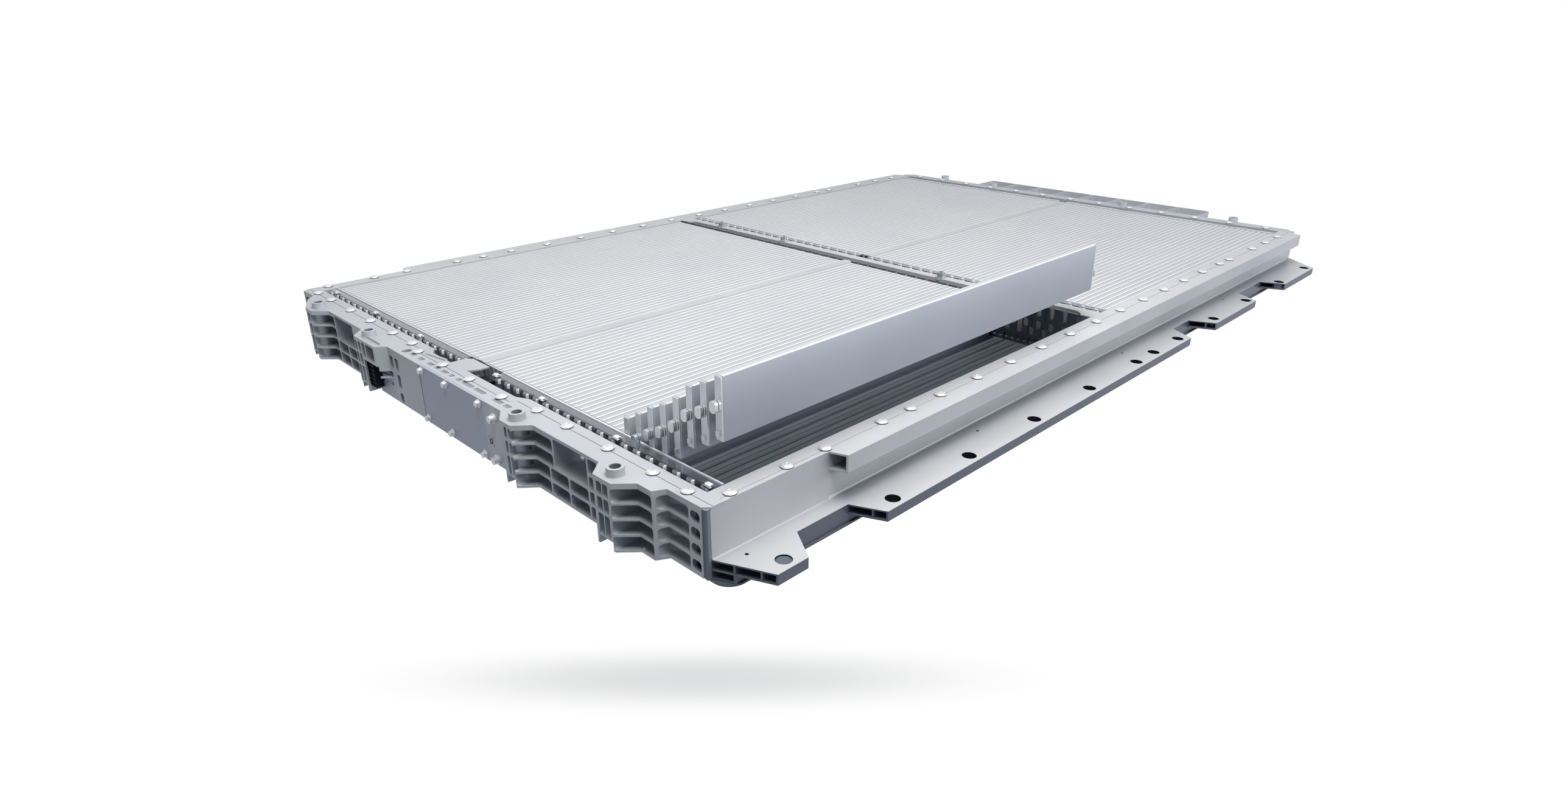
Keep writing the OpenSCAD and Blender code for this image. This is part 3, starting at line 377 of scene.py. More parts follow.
class Shape:
    # Points and faces of one template, with the finish that each face takes
    def __init__(self):
        self.points, self.faces, self.parts = [], [], []

    def loft(self, rings, part=0, capStart=True, capEnd=True):
        start, count = len(self.points), len(rings[0])
        parts = part if isinstance(part, list) else [part] * len(rings)
        for ring in rings:
            self.points += ring
        for r in range(len(rings) - 1):
            for k in range(count):
                a = start + r * count + k
                b = start + r * count + (k + 1) % count
                self.faces.append((a, b, b + count, a + count))
                self.parts.append(parts[r])
        ends = ([start] if capStart else []) + ([start + (len(rings) - 1) * count] if capEnd else [])
        for first in ends:
            self.faces.append(tuple(range(first, first + count)))
            self.parts.append(parts[0 if first == start else -1])

    def make(self, name):
        return meshObject(name, self.points, self.faces, self.parts)


def copiesTree(name, finishes, templates):
    # Puts a template on every point, the second one where the point's "second" is set,
    # then makes real geometry and gives each part of the shape its finish
    tree = bpy.data.node_groups.new(name, "GeometryNodeTree")
    put = tree.interface.new_socket
    put("Places", in_out="INPUT", socket_type="NodeSocketGeometry")
    for k in range(templates):
        put("Template %d" % (k + 1), in_out="INPUT", socket_type="NodeSocketObject")
    put("Size", in_out="INPUT", socket_type="NodeSocketFloat").default_value = 1.0
    put("Random turn", in_out="INPUT", socket_type="NodeSocketFloat").default_value = 0.0
    put("Seed", in_out="INPUT", socket_type="NodeSocketInt").default_value = 3
    for k in range(finishes):
        put("Finish %d" % (k + 1), in_out="INPUT", socket_type="NodeSocketMaterial")
    put("Copies", in_out="OUTPUT", socket_type="NodeSocketGeometry")
    given = addNode(tree, "NodeGroupInput")
    turn = addNode(tree, "FunctionNodeRandomValue", {"data_type": "FLOAT"},
                   {"Seed": given.outputs["Seed"]})
    tree.links.new(given.outputs["Random turn"], turn.inputs[3])
    spin = addNode(tree, "ShaderNodeCombineXYZ", None, {"Z": turn.outputs[1]})
    second = addNode(tree, "GeometryNodeInputNamedAttribute", {"data_type": "BOOLEAN"},
                     {"Name": "second"})
    first = addNode(tree, "FunctionNodeBooleanMath", {"operation": "NOT"},
                    {0: second.outputs["Attribute"]})
    sets = []
    for k in range(templates):
        shape = addNode(tree, "GeometryNodeObjectInfo", None,
                        {"Object": given.outputs["Template %d" % (k + 1)]})
        choice = second.outputs["Attribute"] if k else first.outputs[0]
        sets.append(addNode(tree, "GeometryNodeInstanceOnPoints", None,
                            {"Points": given.outputs["Places"], "Selection": choice,
                             "Instance": shape.outputs["Geometry"],
                             "Rotation": spin.outputs[0], "Scale": given.outputs["Size"]}))
    joined = addNode(tree, "GeometryNodeJoinGeometry")
    for oneSet in sets:
        tree.links.new(oneSet.outputs[0], joined.inputs[0])
    last = addNode(tree, "GeometryNodeRealizeInstances", None, {0: joined.outputs[0]})
    part = addNode(tree, "GeometryNodeInputNamedAttribute", {"data_type": "INT"}, {"Name": "part"})
    for k in range(finishes):
        same = addNode(tree, "FunctionNodeCompare", {"data_type": "INT", "operation": "EQUAL"},
                       {2: part.outputs["Attribute"], 3: k})
        last = addNode(tree, "GeometryNodeSetMaterial", None,
                       {"Geometry": last.outputs[0], "Selection": same.outputs[0],
                        "Material": given.outputs["Finish %d" % (k + 1)]})
    output = addNode(tree, "NodeGroupOutput")
    tree.links.new(last.outputs[0], output.inputs[0])
    return tree


def layOut(name, templates, places, finishes, seconds=None, values=None, smoothAngle=32):
    # One piece of plain mesh from a template on every place
    cloud = bpy.data.meshes.new(name + "Places")
    cloud.from_pydata([tuple(p) for p in places], [], [])
    mark = cloud.attributes.new("second", "BOOLEAN", "POINT")
    for index, flag in enumerate(seconds or []):
        mark.data[index].value = flag
    holder = bpy.data.objects.new(name + "Holder", cloud)
    bpy.context.scene.collection.objects.link(holder)
    tree = copiesTree(name + "Tree", len(finishes), len(templates))
    modifier = holder.modifiers.new("copies", "NODES")
    modifier.node_group = tree
    named = {item.name: item.identifier for item in tree.interface.items_tree
             if item.item_type == "SOCKET" and item.in_out == "INPUT"}
    for k, template in enumerate(templates):
        modifier[named["Template %d" % (k + 1)]] = template
    for k, finish in enumerate(finishes):
        modifier[named["Finish %d" % (k + 1)]] = finish
    for key, value in (values or {}).items():
        modifier[named[key]] = value
    shown = holder.evaluated_get(bpy.context.evaluated_depsgraph_get())
    mesh = bpy.data.meshes.new_from_object(shown)
    mesh.name = name
    for extra in [a.name for a in mesh.attributes if a.name in ("part", "second")]:
        mesh.attributes.remove(mesh.attributes[extra])
    mesh.polygons.foreach_set("use_smooth", [True] * len(mesh.polygons))
    mesh.set_sharp_from_angle(angle=math.radians(smoothAngle))
    piece = bpy.data.objects.new(name, mesh)
    bpy.context.scene.collection.objects.link(piece)
    holder.modifiers.clear()
    bpy.data.objects.remove(holder)
    return piece


def dropTemplates(templates):
    for template in templates:
        bpy.data.objects.remove(template)


def standFor(piece, nodes):
    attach(piece, "root")
    if nodes:
        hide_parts(*nodes)


def plainPiece(shape, name, finish, nodes, smoothAngle=None):
    # A piece of one finish, straight from its shape
    piece = shape.make(name)
    piece.data.attributes.remove(piece.data.attributes["part"])
    piece.data.materials.append(finish)
    if smoothAngle:
        piece.data.polygons.foreach_set("use_smooth", [True] * len(piece.data.polygons))
        piece.data.set_sharp_from_angle(angle=math.radians(smoothAngle))
    standFor(piece, nodes)


def roundSection(wide, high, radius, steps, inset=0.0, least=0.0002):
    # Rectangle with round corners in (Y, Z), low corner at the origin
    r = max(radius - inset, least)
    points = []
    for cx, cz, start in ((wide - inset - r, high - inset - r, 0), (inset + r, high - inset - r, 90),
                          (inset + r, inset + r, 180), (wide - inset - r, inset + r, 270)):
        for k in range(steps + 1):
            angle = math.radians(start + 90 * k / steps)
            points.append((cx + r * math.cos(angle), cz + r * math.sin(angle)))
    return points


def ovalSection(wide, high, count):
    # Upright oval in (Y, Z) round the origin
    points = []
    for k in range(count):
        angle = 2 * math.pi * (k + 0.5) / count
        side = (high - wide) / 2 * (1 if math.sin(angle) > 0 else -1)
        points.append((wide / 2 * math.cos(angle), wide / 2 * math.sin(angle) + side))
    return points


# Blade cells: drawn can with an end cap at each end, a terminal on each cap and a
# small vent at the front end
filmPart, capPart, terminalPart, gasketPart, highlightStripPart, litTopPart = range(6)
cellFinishes = [cellFilm, capAluminium, terminalAluminium, mouldedNylon, paintedHighlightFilm, litTopFilm]
cellSettings = {
    "long": 0.962, "thick": 0.0139, "high": 0.090, "edge": 0.001, "edgeSteps": 2,
    "capLong": 0.003, "seam": 0.0007, "bevel": 0.0005,
    "reach": 0.0104, "low": 0.0327, "upper": 0.0498, "wide": 0.0124, "tall": 0.0176,
    "plate": 0.0034, "weld": 0.0054, "neckInset": 0.0016, "ovalSides": 14,
    "ventWide": 0.005, "ventZ": (0.008, 0.015), "ventLong": 0.004, "ventRoot": 0.0004,
    # Place and height of the painted highlight strip on the top
    "highlightStripY": (0.0006, 0.0036), "highlightStripHigh": 0.00015,
}


def cellTemplate(name, s, turned):
    shape = Shape()
    long, reach = s["long"], s["reach"]
    highlightStripHigh = s["highlightStripHigh"]

    def ring(x, inset):
        return [(x + reach, y, z) for y, z in
                roundSection(s["thick"], s["high"] - highlightStripHigh, s["edge"], s["edgeSteps"], inset)]

    seam, cap, bevel = s["seam"], s["capLong"], s["bevel"]
    shape.loft([ring(0, seam + bevel), ring(bevel, seam), ring(cap, seam), ring(cap, 0),
                ring(long - cap, 0), ring(long - cap, seam), ring(long - bevel, seam),
                ring(long, seam + bevel)], [capPart] * 3 + [filmPart] + [capPart] * 3)
    # Painted light: the top faces take the lighter copy of the film
    for index, face in enumerate(shape.faces):
        heights = [shape.points[k][2] for k in face]
        if shape.parts[index] == filmPart and min(heights) > s["high"] - highlightStripHigh - s["edge"] / 2:
            shape.parts[index] = litTopPart
    # Painted highlight: a near-white strip along the top's outer edge
    y0, y1 = s["highlightStripY"]
    shape.loft([[(x + reach, y0, s["high"] - s["edge"]), (x + reach, y1, s["high"] - s["edge"]),
                 (x + reach, y1, s["high"]), (x + reach, y0 + s["edge"] / 2, s["high"])]
                for x in (cap, long - cap)], highlightStripPart)
    middle = s["thick"] / 2
    for side, height in ((-1, s["low"] if turned else s["upper"]),
                         (1, s["upper"] if turned else s["low"])):
        face = reach if side < 0 else reach + long
        steps = [(0.0, 0.0), (s["plate"] - bevel, 0.0), (s["plate"], bevel),
                 (s["plate"], s["neckInset"]), (reach - s["weld"], s["neckInset"]),
                 (reach - s["weld"], 0.0), (reach - bevel, 0.0), (reach, bevel)]
        rings = [[(face + side * out, middle + y, height + z) for y, z in
                  ovalSection(s["wide"] - 2 * inset, s["tall"] - 2 * inset, s["ovalSides"])]
                 for out, inset in steps]
        shape.loft(rings, [terminalPart] * 3 + [gasketPart] + [terminalPart] * 3)
    y0, y1 = middle - s["ventWide"] / 2, middle + s["ventWide"] / 2
    z0, z1 = s["ventZ"]
    shape.loft([[(x, y0, z0), (x, y1, z0), (x, y1, z1), (x, y0, z1)]
                for x in (reach + s["ventRoot"], reach - s["ventLong"])], terminalPart)
    return shape.make(name)


cellPlain = cellTemplate("cellPlain", cellSettings, False)
cellTurned = cellTemplate("cellTurned", cellSettings, True)
rowBoxes = solidBoxes("cells_rear_right")
rowPitch = (rowBoxes[-1][0].y - rowBoxes[0][0].y) / (len(rowBoxes) - 1)
outerY = max(abs((low.y + high.y) / 2) for low, high in rowBoxes)
for nodeName in ("cells_front_left", "cells_front_right", "cells_rear_left", "cells_rear_right"):
    boxes = solidBoxes(nodeName)
    slots = [round((outerY - abs((low.y + high.y) / 2)) / rowPitch) for low, high in boxes]
    row = layOut(pieceName("blade", nodeName), [cellPlain, cellTurned],
                 [low for low, high in boxes], cellFinishes, [k % 2 == 1 for k in slots])
    standFor(row, [nodeName])
liftedCells = 8
for number in range(1, liftedCells + 1):
    nodeName = "lifted_cell_%d" % number
    cell = layOut("bladeLifted%d" % number, [cellPlain], [solidBoxes(nodeName)[0][0]], cellFinishes)
    standFor(cell, [nodeName])
dropTemplates([cellPlain, cellTurned])
print("cells laid out")

# Deck bolts: pan head with a collar and a cross recess; a dark ring under the head's rim is painted
# shade, the outline of the shadow under the head
steelPart, shadowRingPart = range(2)
boltSettings = {
    "headR": 0.0092, "domeHigh": 0.0034, "domeRings": 5, "domeTo": 82, "brim": 0.0003,
    "collarR": 0.0078, "collarHigh": 0.0016, "foot": (0.0003, 0.0004), "taper": 0.0002,
    # The dark ring under the head is painted shade
    "shadowRingR": 0.0096, "shadowRingHigh": 0.0006, "sides": 24, "shankR": 0.004, "shankLong": 0.014,
    "crossLong": 0.0085, "crossWide": 0.0014, "crossDeep": 0.0016, "crossFlare": (0.55, 1.15),
    "cutOver": 0.001,
}


def cutWith(body, cutter):
    # Takes the cutter out of the body and returns the plain result
    modifier = body.modifiers.new("cut", "BOOLEAN")
    modifier.object = cutter
    modifier.operation = "DIFFERENCE"
    modifier.solver = "EXACT"
    shown = body.evaluated_get(bpy.context.evaluated_depsgraph_get())
    mesh = bpy.data.meshes.new_from_object(shown)
    body.modifiers.clear()
    body.data = mesh
    bpy.data.objects.remove(cutter)
    return body


def withMesh(body, other):
    # Adds the other object's mesh to the body and drops that object
    whole = bmesh.new()
    whole.from_mesh(body.data)
    whole.from_mesh(other.data)
    whole.to_mesh(body.data)
    whole.free()
    bpy.data.objects.remove(other)
    return body


def boltTemplate(name, s):
    # Its origin is at the shank's lower end
    foot, sides, taper = s["shankLong"], s["sides"], s["taper"]
    inset, rise = s["foot"]
    brim = foot + s["collarHigh"]
    profile = [(s["shankR"], 0.0), (s["shankR"], foot), (s["collarR"] - inset, foot),
               (s["collarR"], foot + rise), (s["collarR"] - taper, brim - taper),
               (s["headR"] + s["brim"], brim)]
    for k in range(s["domeRings"]):
        angle = math.radians(s["domeTo"] * k / (s["domeRings"] - 1))
        profile.append((s["headR"] * math.cos(angle), brim + s["domeHigh"] * math.sin(angle)))
    shape = Shape()
    shape.loft([levelCircle(0.0, 0.0, z, r, sides) for r, z in profile], steelPart)
    bolt = shape.make(name)
    # Painted shade: a dark ring a little wider than the head, standing for the shadow under it
    washer = Shape()
    washer.loft([levelCircle(0.0, 0.0, z, s["shadowRingR"], sides)
                 for z in (foot, foot + s["shadowRingHigh"])], shadowRingPart)
    half, thin = s["crossLong"] / 2, s["crossWide"] / 2
    top = brim + s["domeHigh"]
    narrow, broad = s["crossFlare"]
    outline = [(thin, thin), (thin, half), (-thin, half), (-thin, thin), (-half, thin),
               (-half, -thin), (-thin, -thin), (-thin, -half), (thin, -half), (thin, -thin),
               (half, -thin), (half, thin)]
    cross = Shape()
    cross.loft([[(x * k, y * k, z) for x, y in outline]
                for k, z in ((narrow, top - s["crossDeep"]), (broad, top + s["cutOver"]))])
    return withMesh(cutWith(bolt, cross.make("crossCutter")), washer.make("washer"))


bolt = boltTemplate("deckBolt", boltSettings)
for nodeName in ("bolts_right", "bolts_left", "bolts_front", "bolts_rear"):
    row = layOut(pieceName("deck", nodeName), [bolt], feet(nodeName), [zincPlate, mouldedNylon],
                 values={"Random turn": 1.5, "Seed": 7}, smoothAngle=40)
    standFor(row, [nodeName])
dropTemplates([bolt])
print("bolts laid out")

# Linings of the mounting holes: black nylon in the flanges, rubber in the bosses
bushingSettings = {"wall": 0.0005, "gap": 0.00005, "sides": 40, "flangeZ": (-0.0163, -0.0004),
                   "bossZ": (-0.06, -0.0006)}


def bushings(name, s, holes, finish):
    shape = Shape()
    for x, y, z0, z1, r in holes:
        outer, inner = r - s["gap"], r - s["gap"] - s["wall"]
        shape.loft([levelCircle(x, y, z, a, s["sides"]) for a, z in
                    ((outer, z0), (outer, z1), (inner, z1), (inner, z0), (outer, z0))],
                   capStart=False, capEnd=False)
    plainPiece(shape, name, finish, [], 40)


def mountHoles(prefix, span):
    # Place, lower and upper end and radius of each hole of the mounts named so
    holes = []
    for mount in frame["record"]["mounts"]:
        if not mount["name"].startswith(prefix):
            continue
        x, y, z = mount["pos_m"]
        dims = mount["dims"]
        halfX, halfY = dims.get("spacing_x_mm", 0.0) / 2000, dims["spacing_y_mm"] / 2000
        holes += [(x + i * halfX, y + j * halfY, z + span[0], z + span[1], dims["hole_r_mm"] / 1000)
                  for i in ((-1, 1) if halfX else (0,)) for j in (-1, 1)]
    return holes


flangeHoles = mountHoles("flange_bolts", bushingSettings["flangeZ"])
bushings("flangeBushings", bushingSettings, flangeHoles, connectorNylon)
bushings("bossBushings", bushingSettings, mountHoles("front_bosses", bushingSettings["bossZ"]),
         jointRubber)

# Moulded plugs that close the foremost flange hole on each side
plugSettings = {"gap": 0.0007, "sides": 40, "rise": 0.0128, "thick": 0.0015, "crown": 0.0006,
                "flat": 0.7}


def holePlugs(s, holes):
    shape = Shape()
    for x, y, z0, z1, r in holes:
        plugR, foot = r - s["gap"], z0 + s["rise"]
        top = foot + s["thick"]
        shape.loft([levelCircle(x, y, z, a, s["sides"]) for a, z in
                    ((plugR, foot), (plugR, top), (plugR * s["flat"], top + s["crown"]))])
    plainPiece(shape, "holePlugs", mouldedNylon, [])


holePlugs(plugSettings, sorted(flangeHoles)[:2])
print("bushings and plugs made")

# Painted shade: strips in the grey rubber finish fill the upright joints between the front
# casting and the rails, where there is shade; measured from the rail's front end, the
# casting's side and its foot
stripSettings = {"ahead": 0.00635, "behind": 0.00045, "wide": 0.008, "underTop": 0.002,
                 "round": 0.002}


def jointShadeStrip(name, s, side):
    castLow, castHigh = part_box("front_casting")
    railLow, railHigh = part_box("side_rail_right")
    x0, x1 = railLow[0] - s["ahead"], railLow[0] + s["behind"]
    y0, y1 = castHigh[1] - s["wide"], castHigh[1]
    curve = s["round"]
    outline = [(x0, y0 + curve), (x0 + curve, y0), (x1, y0), (x1, y1), (x0 + curve, y1),
               (x0, y1 - curve)]
    shape = Shape()
    shape.loft([[(x, side * y, z) for x, y in outline]
                for z in (castLow[2], railHigh[2] - s["underTop"])])
    plainPiece(shape, name, jointRubber, [])


jointShadeStrip("jointStripRight", stripSettings, -1)
jointShadeStrip("jointStripLeft", stripSettings, 1)
print("joint strips made")

# Clear busbar covers: each bay is a round bulge with a domed top between flat posts,
# and a raised lip runs along the cells
clearPart, clipPart, paintedGlintPart = range(3)
coverSettings = {
    "bay": 0.029, "wall": 0.0011, "inset": 0.001, "arcSteps": 10, "deep": 0.008, "post": 0.012,
    "dome": 0.008, "domeSteps": 4, "domeIn": 0.5, "domeNarrow": 0.25, "shoulder": (1, 2),
    "lipHigh": 0.0016, "lipWide": 0.0024, "shelf": 0.0045, "reach": 0.0117, "split": 0.00004,
    "clip": (0.0032, 0.0055, 0.0024), "clipLean": 0.0004,
}


def coverTemplate(name, s, run, high, clipped):
    # One bay along Y, its back against X = 0, bulging towards -X; origin at its low
    # corner at the back
    shape = Shape()
    half = (run - s["post"]) / 2
    middle = run / 2
    front, wall, dome, narrow = -s["inset"], s["wall"], s["dome"], s["domeNarrow"]

    def arch(deep, halfWide, z):
        turns = [math.pi * k / s["arcSteps"] for k in range(s["arcSteps"] + 1)]
        return [(front - deep * math.sin(turn), middle - halfWide * math.cos(turn), z)
                for turn in turns]

    rows = [arch(s["deep"], half, 0.0)]
    for d in range(s["domeSteps"] + 1):
        angle = math.radians(90 * d / s["domeSteps"])
        shrink = 1 - s["domeIn"] * (1 - math.cos(angle))
        rows.append(arch(s["deep"] * shrink, half * (1 - narrow + narrow * shrink),
                         high - dome + dome * math.sin(angle)))
    # Painted highlight: faces on the dome's shoulder take the near-white finish as glints
    shape.loft(rows)
    for row in range(1, len(rows) - 1):
        for k in s["shoulder"]:
            shape.parts[row * len(rows[0]) + k] = paintedGlintPart
    # Posts at both sides
    ends = (s["split"], run - s["split"])
    for y0, y1 in ((ends[0], middle - half), (middle + half, ends[1])):
        shape.loft([levelRectangle(front - wall, front, y0, y1, z) for z in (0.0, high)], clearPart)
    # Shelf behind the arches and the lip on it
    edge = s["shelf"] + s["reach"]
    shape.loft([[(0.0, y, high), (edge, y, high), (edge, y, high - wall), (0.0, y, high - wall)]
                for y in ends], clearPart)
    lip0, lip1 = edge - s["lipWide"], edge + s["split"]
    raised, sunk = high + s["lipHigh"], high - wall / 2
    # Painted highlight: the real raised lip takes the near-white finish
    shape.loft([[(lip0, y, raised), (lip1, y, raised), (lip1, y, sunk), (lip0, y, sunk)]
                for y in ends], paintedGlintPart)
    if clipped:
        # White clip on the shelf, one for each bay
        deep, wide, tall = s["clip"]
        y0, y1 = middle - wide / 2, middle + wide / 2
        shape.loft([levelRectangle(lean, deep + lean, y0, y1, z)
                    for lean, z in ((0.0, high), (s["clipLean"], high + tall))], clipPart)
    return shape.make(name)


coverNodes = ["busbar_cover_%s_%s" % (place, side) for place in ("front", "mid", "rear")
              for side in ("left", "right")]
for nodeName in coverNodes:
    low, high = (Vector(corner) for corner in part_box(nodeName))
    bays = int((high.y - low.y) / coverSettings["bay"])
    run = (high.y - low.y) / bays
    towardsTail = nodeName.startswith("busbar_cover_rear")
    back, side = (low.x, -1) if towardsTail else (high.x, 1)
    tall = high.z - low.z - coverSettings["lipHigh"]
    template = coverTemplate("coverBay", coverSettings, run, tall, "_mid_" in nodeName)
    for point in template.data.vertices:
        point.co.x = side * (point.co.x - coverSettings["shelf"])
    if towardsTail:
        template.data.flip_normals()
    cover = layOut(pieceName("clear", nodeName.removeprefix("busbar_")), [template],
                   [(back, low.y + k * run, low.z) for k in range(bays)],
                   [clearPlastic, clipPlastic, paintedGlintPlastic], smoothAngle=50)
    standFor(cover, [nodeName])
    dropTemplates([template])
print("clear covers laid out")

# Clips of the sensor leads: a white moulded block in a bent metal saddle
blockPart, saddlePart = range(2)
clipSettings = {
    "block": (0.0075, 0.0105, 0.0030), "blockEdge": 0.0008,
    "saddle": (0.0105, 0.0145, 0.0009), "saddleEdge": 0.0003,
    "earWide": 0.004, "earThick": 0.0012, "earHigh": 0.0022,
}


def clipTemplate(name, s):
    # Origin in the middle of the foot
    shape = Shape()

    def slab(wide, deep, z0, z1, part, edge):
        rings = []
        for z, inset in ((z0, 0.0), (z1 - edge, 0.0), (z1, edge)):
            a, b = wide / 2 - inset, deep / 2 - inset
            rings.append([(-a, -b + edge, z), (-a + edge, -b, z), (a - edge, -b, z), (a, -b + edge, z),
                          (a, b - edge, z), (a - edge, b, z), (-a + edge, b, z), (-a, b - edge, z)])
        shape.loft(rings, part)

    blockWide, blockDeep, blockTop = s["block"]
    wide, deep, top = s["saddle"]
    slab(wide, deep, 0.0, top, saddlePart, s["saddleEdge"])
    slab(blockWide, blockDeep, top, blockTop, blockPart, s["blockEdge"])
    x, half = s["earWide"] / 2, s["earThick"] / 2
    for side in (-1, 1):
        y = side * (deep / 2 - half)
        shape.loft([levelRectangle(-x, x, y - half, y + half, z)
                    for z in (top, top + s["earHigh"])], saddlePart)
    return shape.make(name)


clip = clipTemplate("sensorClip", clipSettings)
clips = layOut("sensorClips", [clip], feet("sensor_clips"), [clipPlastic, turnedSteel])
standFor(clips, ["sensor_clips"])
dropTemplates([clip])
print("clips laid out")

# Signal connector: a black housing with round edges, a collar round its foot, a
# sunk face with contact bars and a latch on top
connectorSettings = {
    "x": (-1.1385, -1.1185), "y": (0.2285, 0.2568), "z": (0.0152, 0.0678),
    "round": 0.0022, "steps": 3, "edge": 0.0005, "rim": 0.0026, "sunk": 0.004,
    "collar": 0.0012, "collarLong": 0.003, "smooth": 35,
    "bars": 5, "barWide": 0.0016, "barEnd": 0.002, "barX": (0.0008, 0.0042), "barTaper": 0.0003,
    "latchX": (0.003, 0.013), "latchWide": 0.012, "latchHigh": 0.0022, "latchLean": 0.002,
}


def connectorPiece(name, s):
    x0, x1 = s["x"]
    y0, y1 = s["y"]
    z0, z1 = s["z"]
    wide, high = y1 - y0, z1 - z0

    def ring(x, inset):
        return [(x, y0 + y, z0 + z) for y, z in roundSection(wide, high, s["round"], s["steps"], inset)]

    shape = Shape()
    collar, rim, edge = s["collar"], s["rim"], s["edge"]
    shape.loft([ring(x0 + s["sunk"], rim), ring(x0, rim), ring(x0, collar + edge),
                ring(x0 + edge, collar), ring(x1 - s["collarLong"], collar),
                ring(x1 - s["collarLong"], 0.0), ring(x1, 0.0)])
    # Contact bars in the sunk face
    a, b = y0 + rim + s["barEnd"], y1 - rim - s["barEnd"]
    half = s["barWide"] / 2
    front, root = s["barX"]
    for k in range(s["bars"]):
        middle = z0 + high * (k + 1) / (s["bars"] + 1)
        shape.loft([[(x, a + i, middle - half + i), (x, b - i, middle - half + i),
                     (x, b - i, middle + half - i), (x, a + i, middle + half - i)]
                    for x, i in ((x0 + root, 0.0), (x0 + front, s["barTaper"]))])
    # Latch
    front, back = x0 + s["latchX"][0], x0 + s["latchX"][1]
    a, b = (y0 + y1 - s["latchWide"]) / 2, (y0 + y1 + s["latchWide"]) / 2
    shape.loft([levelRectangle(front + lean, back, a, b, z) for lean, z in
                ((0.0, z1 - 2 * collar), (s["latchLean"], z1 - collar + s["latchHigh"]))])
    plainPiece(shape, name, connectorNylon, ["signal_connector"], s["smooth"])


connectorPiece("signalConnector", connectorSettings)
print("connector made")

# Guide rib on the deck of the front casting: a bar with a chamfered top along a line
ribSettings = {"line": [(-1.0743, 0.1178), (-1.0890, 0.0960), (-1.0802, 0.0410)], "wide": 0.0046,
               "z": (0.1068, 0.1094), "chamfer": 0.0006, "flat": 0.7}


def guideRib(s):
    shape = Shape()
    line, flat = s["line"], s["flat"]
    low, high = s["z"]
    shoulder = high - s["chamfer"]
    rings = []
    for k, (x, y) in enumerate(line):
        before, after = line[max(k - 1, 0)], line[min(k + 1, len(line) - 1)]
        run = Vector((after[0] - before[0], after[1] - before[1])).normalized()
        side = Vector((-run.y, run.x)) * s["wide"] / 2
        rings.append([(x + side.x * t, y + side.y * t, z)
                      for t, z in ((1, low), (1, shoulder), (flat, high), (-flat, high),
                                   (-1, shoulder), (-1, low))])
    shape.loft(rings)
    plainPiece(shape, "deckGuideRib", castAluminium, [])


guideRib(ribSettings)

# Dark sealing bead beside the access plate
beadSettings = {"wide": 0.0014, "proud": 0.0003, "deep": 0.002}


def sealingBead(s):
    low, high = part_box("access_cover")
    shape = Shape()
    shape.loft([levelRectangle(low[0] - s["proud"], low[0] + s["deep"], high[1], high[1] + s["wide"], z)
                for z in (low[2], high[2])])
    plainPiece(shape, "sealingBead", jointRubber, [])


sealingBead(beadSettings)

# Sensor port with its four pins on the face beside the access plate; body and pin are
# given by distance in front of the face and share of the radius, from the root outwards
portSettings = {
    "y": -0.1786, "z": 0.0409, "r": 0.0048, "pins": 4, "pinR": 0.0010, "reach": 0.0092, "sides": 24,
    "body": [(-0.001, 1), (0.0004, 1), (0.0006, 0.9), (0.0006, 0.72), (-0.0002, 0.7)],
    "pin": [(-0.001, 1), (0.0003, 1), (0.0005, 0.6)],
}


def sensorPort(s):
    shape = Shape()
    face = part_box("access_cover")[0][0]
    discs = [(s["y"], s["z"], s["r"], s["body"])]
    for k in range(s["pins"]):
        angle = 2 * math.pi * (k + 0.5) / s["pins"]
        discs.append((s["y"] + s["reach"] * math.cos(angle), s["z"] + s["reach"] * math.sin(angle),
                      s["pinR"], s["pin"]))
    for y, z, r, profile in discs:
        shape.loft([uprightCircle(face - out, y, z, r * share, s["sides"]) for out, share in profile])
    plainPiece(shape, "sensorPort", connectorNylon, [])


sensorPort(portSettings)

# Domed core plug in the back of the window
coreSettings = {"place": (-1.0760, -0.3655, 0.0612), "r": 0.0078, "root": 0.0015367,
                "domeHigh": 0.0052, "domeTurns": (0, 20, 40, 60, 78), "sides": 24}


def corePlug(s):
    x, y, z = s["place"]
    profile = [(x + s["root"], s["r"])]
    for turn in s["domeTurns"]:
        angle = math.radians(turn)
        profile.append((x - s["domeHigh"] * math.sin(angle), s["r"] * math.cos(angle)))
    shape = Shape()
    shape.loft([uprightCircle(front, y, z, r, s["sides"]) for front, r in profile])
    plainPiece(shape, "corePlug", capAluminium, [])


corePlug(coreSettings)

# Rough-cast floors of the shallow deck recesses, a shade darker than the milled deck; the
# rings are given by inset from the walls and height over the floor
recessSettings = {"depth": (0.0002, 0.004), "long": (0.02, 0.04), "level": 0.9,
                  "rings": [(0.0001, -0.0003), (0.0001, 0.0001), (0.0004, 0.0002)]}


def recessFloors(s):
    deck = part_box("side_rail_right")[1][2]
    shallow, deep = s["depth"]
    work = bmesh.new()
    work.from_mesh(frame["nodes"]["front_casting"].data)
    bmesh.ops.remove_doubles(work, verts=work.verts, dist=1e-6)
    left = {face for face in work.faces if face.normal.z > s["level"]
            and deck - deep < face.calc_center_median().z < deck - shallow}
    pads = Shape()
    for first in work.faces:
        if first not in left:
            continue
        left.discard(first)
        stack, points = [first], []
        while stack:
            face = stack.pop()
            points += [vert.co for vert in face.verts]
            for edge in face.edges:
                for other in edge.link_faces:
                    if other in left:
                        left.discard(other)
                        stack.append(other)
        x0, x1 = min(p.x for p in points), max(p.x for p in points)
        y0, y1 = min(p.y for p in points), max(p.y for p in points)
        if x1 - x0 < s["long"][0] and y1 - y0 < s["long"][1]:
            pads.loft([levelRectangle(x0 + i, x1 - i, y0 + i, y1 - i, points[0].z + up)
                       for i, up in s["rings"]])
    work.free()
    if pads.faces:
        plainPiece(pads, "deckRecessFloors", roughCasting, [])


recessFloors(recessSettings)
print("front details made")

